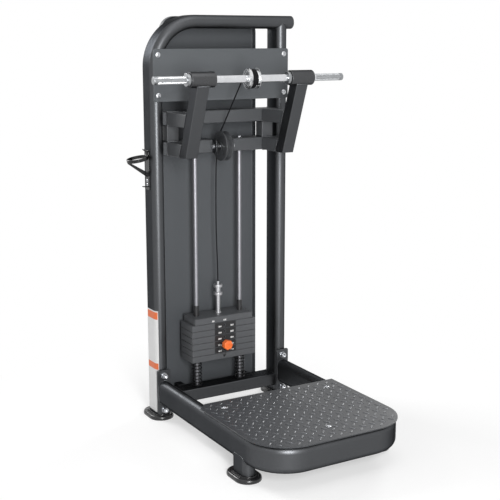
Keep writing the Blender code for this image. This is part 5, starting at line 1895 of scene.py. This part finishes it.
@dataclass
class WeightStack(Assembly):
    """Plates, head plate, guide sleeves, labels and selector rod."""

    count: int = 6
    lifted: int = 4
    labelled: int = 5
    corner: float = 0.003
    least_corner: float = 0.0008
    edge: float = 0.0014
    rebate: float = 0.0035
    seam: float = 0.0008
    pin_hole: float = 0.0053
    hole_depth: float = 0.060
    drill_start: float = 0.010
    label_sides: Pair = (-0.044, 0.053)
    label_border: float = 0.0016
    label_corner: float = 0.0015
    label_thickness: float = 0.0003
    label_sink: float = 0.0002
    label_clearance: float = 0.0012
    digit_height: float = 0.0082
    digit_bold: float = 0.00042
    digit_relief: float = 0.0001
    digit_drop: float = 0.0045
    digit_columns: Pair = (-0.021, 0.035)
    head_columns: Pair = (-0.051, 0.001)
    first_number: int = 5
    second_number: int = 11
    sleeve_bore: float = 0.0094
    selector_radius: float = 0.00925
    seat_radius: float = 0.0135
    flange_radius: float = 0.018
    flange_edge: float = 0.0012
    neck_radius: float = 0.0105
    ferrule_radius: float = 0.006
    selector_steps: Triple = (0.076, 0.088, 0.108)
    flange_height: float = 0.012

    def slab(self, node: str, body: Body, pinned: bool) -> Piece:
        """One plate with rounded edges and its pin hole.

        Args:
            node: node that it takes the place of.
            body: body that it rides on.
            pinned: whether it has a pin hole.

        Returns:
            The piece.
        """
        box = Box(node)
        rebate, gap, edge = self.rebate, self.seam, self.edge
        sides = ((rebate, 0.0), (rebate, gap), (edge * 0.8, gap), (edge * 0.25, gap + edge * 0.3),
                 (0.0, gap + edge))
        rings = []
        for base, way in ((box.low.z, 1), (box.high.z, -1)):
            for inset, rise in sides[::way]:
                outline = box.outline("xy", [max(self.least_corner, self.corner - inset)] * 4, inset)
                rings.append([Vector((x, y, base + way * rise)) for x, y in outline])
        solid = Solid().loft(rings)
        if pinned:
            start = Vector((0, box.low.y - self.drill_start, box.middle.z))
            solid.drill(self.pin_hole, start, self.drill_start + self.hole_depth)
        return solid.ship(node + "_slab", Coat.STACK, node, body=body)

    def label(self, node: str, body: Body) -> Piece:
        """Dark strip on one plate's front, open at the pin hole.

        Args:
            node: plate that it lies on.
            body: body that the plate rides on.

        Returns:
            The piece.
        """
        box, sink, border = Box(node), self.label_sink, self.label_border
        outline = corner_outline(*self.label_sides, box.low.z + border, box.high.z - border,
                                 [self.label_corner] * 4)
        solid = Solid().prism(outline, Vector((0, box.low.y + sink, 0)), RIGHT, UP, self.label_thickness + sink)
        start = Vector((0, box.low.y - self.drill_start, box.middle.z))
        solid.drill(self.pin_hole + self.label_clearance, start, 2 * self.drill_start)
        return solid.ship(node + "_label", Coat.STRIP, body=body)

    def digits(self, node: str, body: Body, numbers: Sequence[int], columns: Pair) -> Piece:
        """Plain numbers in two columns of one plate's front.

        Args:
            node: plate that they are printed on.
            body: body that the plate rides on.
            numbers: left and right number.
            columns: middle of each number across the machine.

        Returns:
            The piece.
        """
        box, solid = Box(node), Solid()
        for number, x in zip(numbers, columns):
            curve = bpy.data.curves.new("digits", "FONT")
            curve.body = f"{number:.1f}"
            curve.size, curve.offset, curve.extrude = self.digit_height, self.digit_bold, self.digit_relief
            curve.align_x = curve.align_y = "CENTER"
            writing = link("digits", curve)
            mesh = plain_mesh(writing)
            spot = (x, box.low.y - self.label_thickness - self.digit_relief, box.middle.z - self.digit_drop)
            mesh.transform(Matrix.Translation(spot) @ Matrix.Rotation(math.pi / 2, 4, "X"))
            solid.bm.from_mesh(mesh)
            bpy.data.objects.remove(writing, do_unlink=True)
        return solid.ship(node + "_digits", Coat.DIGIT, body=body)

    def guide_sleeve(self, side: Side) -> Piece:
        """Bush that stands out of the head plate round a guide rod.

        Args:
            side: side of the machine.

        Returns:
            The piece.
        """
        node = "guide_sleeve_" + side.word
        box, bore = Box(node), self.sleeve_bore
        radius, low, top = box.size.x / 2, box.low.z, box.high.z
        profile = [(bore, low), (radius, low), (radius, top - 0.0008), (radius - 0.0006, top), (bore, top)]
        solid = Solid().lathe(profile, Vector((box.middle.x, box.middle.y, 0)), UP, 40, bored=True)
        return solid.ship(node + "_bush", Coat.PLASTIC, node, body=Body.STACK)

    def flange(self, low: float, high: float) -> list[Pair]:
        """Profile of one round-edged disc of the selector rod.

        Args:
            low: lower side.
            high: upper side.

        Returns:
            The points.
        """
        f, e = self.flange_radius, self.flange_edge
        return [(f - e, low), (f - 0.3 * e, low + 0.3 * e), (f, low + e), (f, high - e),
                (f - 0.3 * e, high - 0.3 * e), (f - e, high)]

    def selector(self) -> Piece:
        """Rod with its seat, flanges, neck and ferrule.

        Returns:
            The piece.
        """
        low, top = Box("selector_rod").low.z, Box("selector_rod").high.z
        seat = Box("head_plate").high.z + 0.0003
        collar, neck, head = (seat + step for step in self.selector_steps)
        cap = head + self.flange_height
        r, w, n, s, e = (self.selector_radius, self.seat_radius, self.neck_radius, self.ferrule_radius,
                         self.flange_edge)
        profile = [(0.0, low), (r - 0.001, low), (r, low + 0.001), (r, seat), (w - 0.0006, seat),
                   (w, seat + 0.0006), (w, seat + 0.0050), (w - 0.001, seat + 0.006), (r, seat + 0.006),
                   (r, collar),
                   *self.flange(collar, neck), (n + e, neck), (n, neck + e), (n, head - e), (n + e, head),
                   *self.flange(head, cap), (s, cap), (s, top - 0.0016), (s - 0.0010, top - 0.0004),
                   (s - 0.0018, top), (0.0, top)]
        stem = Solid().lathe(profile, Vector((0, REAR, 0)), UP, 56)
        return stem.ship("selector_stem", Coat.SELECTOR, "selector_rod", body=Body.STACK)

    def build(self) -> Iterable[Piece]:
        """Make the stack from the head plate down.

        Returns:
            The pieces.
        """
        yield self.slab("head_plate", Body.STACK, False)
        yield self.digits("head_plate", Body.STACK, (self.first_number, self.second_number), self.head_columns)
        for number in range(1, self.count + 1):
            node = f"weight_plate_{number}"
            body = Body.STACK if number <= self.lifted else Body.FRAME
            yield self.slab(node, body, True)
            if number <= self.labelled:
                yield self.label(node, body)
                pair = (self.first_number * (number + 1), self.second_number * (number + 1))
                yield self.digits(node, body, pair, self.digit_columns)
        for side in Side:
            yield self.guide_sleeve(side)
        yield self.selector()


@dataclass
class SelectorPin(Assembly):
    """Pin with its knob and the lanyard looped under it."""

    knob_round: float = 0.0055
    round_steps: int = 6
    neck_radius: float = 0.011
    neck_length: float = 0.010
    flutes: int = 7
    flute_steps: int = 12
    flute_depth: float = 0.0027
    cord_diameter: float = 0.0025
    cord_spacing: float = 0.0016
    route: tuple[Triple, ...] = (
        (-0.0114, -0.0590, 0.0000), (-0.0165, -0.0590, -0.0002), (-0.0225, -0.0588, -0.0025),
        (-0.0265, -0.0586, -0.0105), (-0.0262, -0.0586, -0.0215), (-0.0195, -0.0600, -0.0345),
        (-0.0105, -0.0630, -0.0425), (-0.0030, -0.0645, -0.0440), (0.0018, -0.0635, -0.0395),
        (0.0022, -0.0615, -0.0290), (0.0010, -0.0595, -0.0185), (0.0000, -0.0590, -0.0114))

    def lanyard(self) -> Piece:
        """Cord from the knob's neck down and back to it.

        Returns:
            The piece.
        """
        points = smooth_route([PIN_AXIS + Vector(point) for point in self.route], self.cord_spacing)
        obj = self.rope("lanyard", [points], Coat.CORD, self.cord_diameter, 12, ["pin_lanyard"], Body.PIN)
        return obj

    def pin(self) -> Piece:
        """Steel pin.

        Returns:
            The piece.
        """
        box = Box("selector_pin")
        radius, start, end = box.size.x / 2, REAR - box.high.y, REAR - box.low.y
        profile = [(0.0, start), (radius * 0.45, start), (radius, start + 0.004), (radius, end - 0.0003),
                   (0.0, end)]
        rod = Solid().lathe(profile, PIN_AXIS, FORWARD, 36)
        return rod.ship("pin_rod", Coat.CHROME, "selector_pin", body=Body.PIN)

    def knob(self) -> Piece:
        """Fluted knob with a neck.

        Returns:
            The piece.
        """
        box, neck, r = Box("selector_knob"), self.neck_radius, self.knob_round
        radius, back, front = box.size.x / 2, REAR - box.high.y, REAR - box.low.y
        shoulder, turns = back + self.neck_length, arc(0.0, math.pi / 2, self.round_steps)
        stations = [(neck - 0.0008, back), (neck, back + 0.0008), (neck, shoulder),
                    *round_edge(radius, shoulder, r, turns), *round_edge(radius, front, r, turns[::-1], -1),
                    (radius * 0.52, front), (radius * 0.48, front - 0.0010), (radius * 0.20, front - 0.0014)]
        rings = []
        for at, along in stations:
            depth = self.flute_depth * max(0.0, min(1.0, (at - neck) / (radius - neck))) * (along > shoulder)
            ring = []
            for angle in circle(self.flutes * self.flute_steps):
                reach = at - depth * (0.5 - 0.5 * math.cos(self.flutes * angle))
                out = RIGHT * math.cos(angle) + UP * math.sin(angle)
                ring.append(PIN_AXIS + FORWARD * along + out * reach)
            rings.append(ring)
        return Solid().loft(rings).ship("pin_knob", Coat.ORANGE, "selector_knob", body=Body.PIN)

    def build(self) -> Iterable[Piece]:
        """Make the lanyard, pin and knob.

        Returns:
            The pieces.
        """
        yield self.lanyard()
        yield self.pin()
        yield self.knob()


@dataclass
class Covers(Assembly):
    """Front panel with its screws, and the rear shroud."""

    panel_corner: float = 0.008
    panel_edge: float = 0.0006
    screw_heights: Pair = (1.2730, 1.4227)
    shroud_corner: float = 0.060
    shroud_low_corner: float = 0.010
    shroud_steps: int = 12
    shroud_sheet: float = 0.002
    shroud_edge: float = 0.005
    shroud_front: float = 0.056
    edge_steps: int = 5
    tab_x: float = 0.150
    tab_width: float = 0.030
    tab_heights: Pair = (0.073, 1.185)
    tab_height: float = 0.020
    screw_sink: float = 0.0012

    def shroud(self) -> Piece:
        """Tray of sheet with round top corners and a rolled edge.

        Returns:
            The piece.
        """
        box, sheet, edge = Box("rear_shroud"), self.shroud_sheet, self.shroud_edge
        inside, outside = (
            [(start, REAR + self.shroud_front),
             *((start + r * (1 - math.cos(a)), box.high.y - edge + r * math.sin(a))
               for a in arc(0.0, math.pi / 2, self.edge_steps))]
            for start, r in ((sheet, edge - sheet), (0.0, edge)))
        rings = []
        for inset, y in inside[::-1] + outside:
            top, bottom = self.shroud_corner - inset, max(0.001, self.shroud_low_corner - inset)
            outline = box.outline("xz", (bottom, top, top, bottom), inset, self.shroud_steps)
            rings.append([Vector((x, y, z)) for x, z in outline])
        # The shroud takes the darkened copy of the panel paint, which is painted shade.
        return Solid().loft(rings).ship("shroud_tray", Coat.SHROUD, "rear_shroud")

    def tabs(self) -> Piece:
        """Brackets that hold the shroud to the crossbars.

        Returns:
            The piece.
        """
        solid, half = Solid(), self.tab_width / 2
        front, rear = Box("upper_crossbar").high.y, Box("rear_shroud").high.y - self.shroud_sheet
        for z in self.tab_heights:
            for x in (-self.tab_x, self.tab_x):
                solid.block((x - half, front, z), (x + half, rear, z + self.tab_height))
        return solid.ship("shroud_brackets", Coat.FRAME, edge=0.0010)

    def build(self) -> Iterable[Piece]:
        """Make both covers and their screws.

        Returns:
            The pieces.
        """
        yield upright_plate("name_panel", "front_panel", Coat.PANEL, self.panel_corner, self.panel_edge)
        yield self.shroud()
        yield self.tabs()
        x, front = Box("right_upright").middle.x, Box("name_panel").low.y
        stations = [(Vector((side.value * x, front, z)), FORWARD) for side in Side for z in self.screw_heights]
        yield self.heads("panel_screws", Fasteners().button(), stations)
        rear, lift = Box("rear_shroud").high.y - self.screw_sink, self.tab_height / 2
        stations = [(Vector((side.value * self.tab_x, rear, z + lift)), BACK) for side in Side
                    for z in self.tab_heights]
        yield self.heads("shroud_screws", Fasteners(0.0075, 0.0016, 0.0028).button(), stations)


@dataclass
class BottleHolder(Assembly):
    """Back plate, ring of band and the strap under it, with rivets and prongs."""

    plate_thickness: float = 0.003
    plate_width: float = 0.034
    plate_drop: float = 0.014
    plate_corner: float = 0.004
    ring_radius: float = 0.0415
    ring_drop: float = 0.038
    ring_edge: float = 0.0007
    droop: float = math.radians(11)
    band_height: float = 0.013
    band_thickness: float = 0.003
    strap_feet: Pair = (0.0455, 0.0660)
    screw_heights: Pair = (0.9335, 0.9495)
    prong_radius: float = 0.0018
    prong_side: float = 0.0045

    def prongs(self, box: Box) -> Piece:
        """Wire hooks at the plate's top and foot.

        Args:
            box: box of the holder.

        Returns:
            The piece.
        """
        wires = []
        for y in (REAR - self.prong_side, REAR + self.prong_side):
            hook = Vector((box.high.x - 0.0045, y, box.high.z - 0.022))
            wires.append([hook + Vector((0.001, 0, -0.010)), hook, hook + Vector((-0.015, 0, 0.013))])
            pin = Vector((box.high.x - 0.0035, y, box.low.z + 0.0126))
            wires.append([pin, pin + Vector((-0.010, 0, 0)), pin + Vector((-0.019, 0, 0.0006))])
        lines = [smooth_route(wire, 0.002) for wire in wires]
        return self.rope("holder_prongs", lines, Coat.GLOSS_BLACK, 2 * self.prong_radius, 10)

    def build(self) -> Iterable[Piece]:
        """Make the holder.

        Returns:
            The pieces.
        """
        box, sheet, half = Box("bottle_holder"), self.plate_thickness, self.plate_width / 2
        face = box.high.x - sheet
        outline = corner_outline(REAR - half, REAR + half, box.low.z, box.high.z - self.plate_drop,
                                 [self.plate_corner] * 4)
        plate = Solid().prism(outline, Vector((face, 0, 0)), BACK, UP, sheet)
        yield plate.ship("holder_plate", Coat.GLOSS_BLACK, "bottle_holder", edge=0.0007)
        droop = Vector((-math.cos(self.droop), 0, -math.sin(self.droop)))
        lift = Vector((-math.sin(self.droop), 0, math.cos(self.droop)))
        outer, thick, band, e = self.ring_radius, self.band_thickness, self.band_height / 2, self.ring_edge
        inner, weld = outer - thick, box.high.x - sheet / 4
        root = Vector((weld - band * math.sin(self.droop), REAR, box.high.z - self.ring_drop))
        profile = both_halves([(outer, band - e), (outer - e, band), (inner + e, band), (inner, band - e)])
        ring = Solid().lathe(profile, root + droop * outer, lift, 72, bored=True)
        yield ring.ship("holder_ring", Coat.GLOSS_BLACK)
        tip = root + droop * (2 * outer - thick / 2)
        x, start = tip.x - 0.0012, tip.z - band
        low, high = (box.low.z + foot for foot in self.strap_feet)
        outline = [(x, start - 0.001), (weld, low), (weld, high), (tip.x + 0.0065, start + 0.003),
                   (x, start + 0.006)]
        strap = Solid().prism(outline, Vector((0, REAR + thick / 2, 0)), RIGHT, UP, thick)
        yield strap.ship("holder_strap", Coat.GLOSS_BLACK, edge=0.0008)
        stations = [(Vector((face, REAR, z)), -RIGHT) for z in self.screw_heights]
        yield self.heads("holder_screws", Fasteners(0.0060, 0.0028, 0.0022).button(), stations)
        yield self.prongs(box)


@dataclass
class Placard(Assembly):
    """Plain plate with two plain bands on the left upright's outer side."""

    front: float = -0.045
    rear: float = 0.030
    low: float = 0.027
    high: float = 0.442
    bands: tuple[Pair, ...] = ((0.408, 0.437), (0.204, 0.229))
    band_margin: float = 0.0015
    lift: float = 0.0004
    sink: float = 0.0003
    steps: int = 18

    def sheet(self, low: float, high: float, lift: float, margin: float) -> Solid:
        """Film that follows the tube's side.

        Args:
            low: lower edge.
            high: upper edge.
            lift: how far it stands off the tube.
            margin: how far it stays inside the plate's sides.

        Returns:
            The film.
        """
        tube = Box("right_upright")
        radius = tube.size.x / 2
        straight = tube.size.y / 2 - radius
        rings = []
        for y in arc(self.front + margin, self.rear - margin, self.steps):
            past = max(0.0, abs(y) - straight) / radius
            normal = Vector((-math.sqrt(max(0.0, 1 - past * past)), math.copysign(past, y), 0))
            nose = Vector((radius - tube.high.x, REAR + math.copysign(min(abs(y), straight), y), 0))
            inner, outer = nose + normal * (radius - self.sink), nose + normal * (radius + lift)
            corners = ((inner, low), (outer, low), (outer, high), (inner, high))
            rings.append([point + UP * z for point, z in corners])
        return Solid().loft(rings)

    def build(self) -> Iterable[Piece]:
        """Make the placard and its bands.

        Returns:
            The pieces.
        """
        yield self.sheet(self.low, self.high, self.lift, 0.0).ship("placard", Coat.PLACARD)
        for number, (low, high) in enumerate(self.bands, 1):
            film = self.sheet(low, high, self.lift * 1.6, self.band_margin)
            yield film.ship(f"placard_band_{number}", Coat.BAND)


@dataclass
class Softbox:
    """One soft lamp."""

    label: str
    place: Triple
    size: Pair
    power: float
    aim: Triple = (0.0, 0.0, 0.75)

    def hang(self) -> None:
        """Hang the lamp, turned to the machine."""
        data = bpy.data.lights.new(self.label, "AREA")
        data.shape, data.energy = "RECTANGLE", self.power
        data.size, data.size_y = self.size
        lamp = link(self.label, data)
        lamp.location = self.place
        lamp.rotation_euler = (Vector(self.aim) - lamp.location).to_track_quat("-Z", "Y").to_euler()
        lamp.visible_camera = False


@dataclass
class Studio:
    """Camera, lamps, pale floor and white surroundings."""

    camera_place: Triple = (-1.9181, -3.1210, 1.4791)
    camera_turn: Triple = (78.2999, 0.0, -30.3744)
    lens: float = 73.253
    lamps: tuple[Softbox, ...] = (
        Softbox("front", (-1.4, -3.77, 1.5), (0.8, 2.3), 190.0),
        Softbox("left", (-3.2, -0.9, 2.6), (1.2, 1.2), 5.0),
        Softbox("top", (0.0, -0.8, 3.8), (2.2, 2.2), 22.0),
        Softbox("right", (3.0, 1.6, 1.7), (1.2, 1.2), 45.0),
        Softbox("back", (-1.6, 3.0, 2.6), (1.4, 1.4), 75.0))
    ambient: float = 0.32
    floor_radius: float = 8.0
    floor_grey: float = 0.97
    fade: Pair = (0.6, 1.35)
    glow: float = 0.45

    def set_camera(self) -> None:
        """Set the camera at the photograph's viewing angle."""
        data = bpy.data.cameras.new("camera")
        data.sensor_width, data.lens = 36.0, self.lens
        camera = link("camera", data)
        camera.location = self.camera_place
        camera.rotation_euler = [math.radians(angle) for angle in self.camera_turn]
        bpy.context.scene.camera = camera

    @staticmethod
    def seen_directly(tree: bpy.types.NodeTree) -> Socket:
        """Factor that is one for what the camera sees straight, mirrored or through glass.

        Args:
            tree: tree that reads it.

        Returns:
            The factor.
        """
        path = add_node(tree, "ShaderNodeLightPath")
        total = path.outputs["Is Camera Ray"]
        for key in ("Is Glossy Ray", "Is Transmission Ray"):
            seen = path.outputs[key]
            total = add_node(tree, "ShaderNodeMath", operation="MAXIMUM", i0=total, i1=seen).outputs[0]
        return total

    @staticmethod
    def blend(tree: bpy.types.NodeTree, share: Socket, base: bpy.types.Node, over: bpy.types.Node) -> None:
        """Show one shader through another.

        Args:
            tree: tree of both shaders.
            share: how much of the second one shows.
            base: first shader.
            over: second shader.
        """
        both = add_node(tree, "ShaderNodeMixShader", Fac=share, i1=base.outputs[0], i2=over.outputs[0])
        target = next(node for node in tree.nodes if "Surface" in node.inputs)
        tree.links.new(both.outputs[0], target.inputs["Surface"])

    def surround(self) -> None:
        """White surroundings with a softer ambient light."""
        world = bpy.data.worlds.new("studio")
        world.use_nodes = True
        tree = world.node_tree
        white = tree.nodes["Background"]
        white.inputs["Color"].default_value = (1, 1, 1, 1)
        dim = add_node(tree, "ShaderNodeBackground", Strength=self.ambient)
        self.blend(tree, self.seen_directly(tree), dim, white)
        bpy.context.scene.world = world

    def floor(self) -> None:
        """Pale floor that takes the shadow near the machine and runs into white further out."""
        mesh = bpy.data.meshes.new("floor")
        rim = [(self.floor_radius * math.cos(a), self.floor_radius * math.sin(a), 0.0) for a in circle(96)]
        mesh.from_pydata(rim, [], [tuple(range(len(rim)))])
        graph = Graph("floor")
        graph.feed(Base_Color=(*(self.floor_grey,) * 3, 1), Roughness=0.9, Specular_IOR_Level=0.1)
        far = graph.out("VectorMath", "Value", operation="LENGTH", i0=graph.place)
        near, white = self.fade
        fade = graph.out("MapRange", "Result", Value=far, From_Min=near, From_Max=white, To_Min=self.glow)
        share = graph.out("Math", "Value", operation="MULTIPLY", i0=fade, i1=self.seen_directly(graph.tree))
        self.blend(graph.tree, share, graph.shader, add_node(graph.tree, "ShaderNodeEmission"))
        mesh.materials.append(graph.material)
        link("floor", mesh)

    def light(self) -> None:
        """Hang the lamps, lay the floor and set the plain view."""
        for lamp in self.lamps:
            lamp.hang()
        self.surround()
        self.floor()
        bpy.context.scene.view_settings.view_transform = "Standard"


def main() -> None:
    """Build the studio and every sub-assembly in order."""
    logging.basicConfig(level=logging.INFO, format="%(name)s: %(message)s")
    studio = Studio()
    studio.set_camera()
    trees = Trees()
    for kind in (SelectorPin, FrameTubes, Feet, StepPlate, BarCarrier, GripBar, Cable, GuidePulley, GuideRods,
                 WeightStack, Covers, BottleHolder, Placard):
        for piece in kind(trees).build():
            LOG.info("%s: %s, %d faces", kind.__name__, piece.name, len(piece.data.polygons))
    studio.light()


if __name__ == "__main__":
    main()
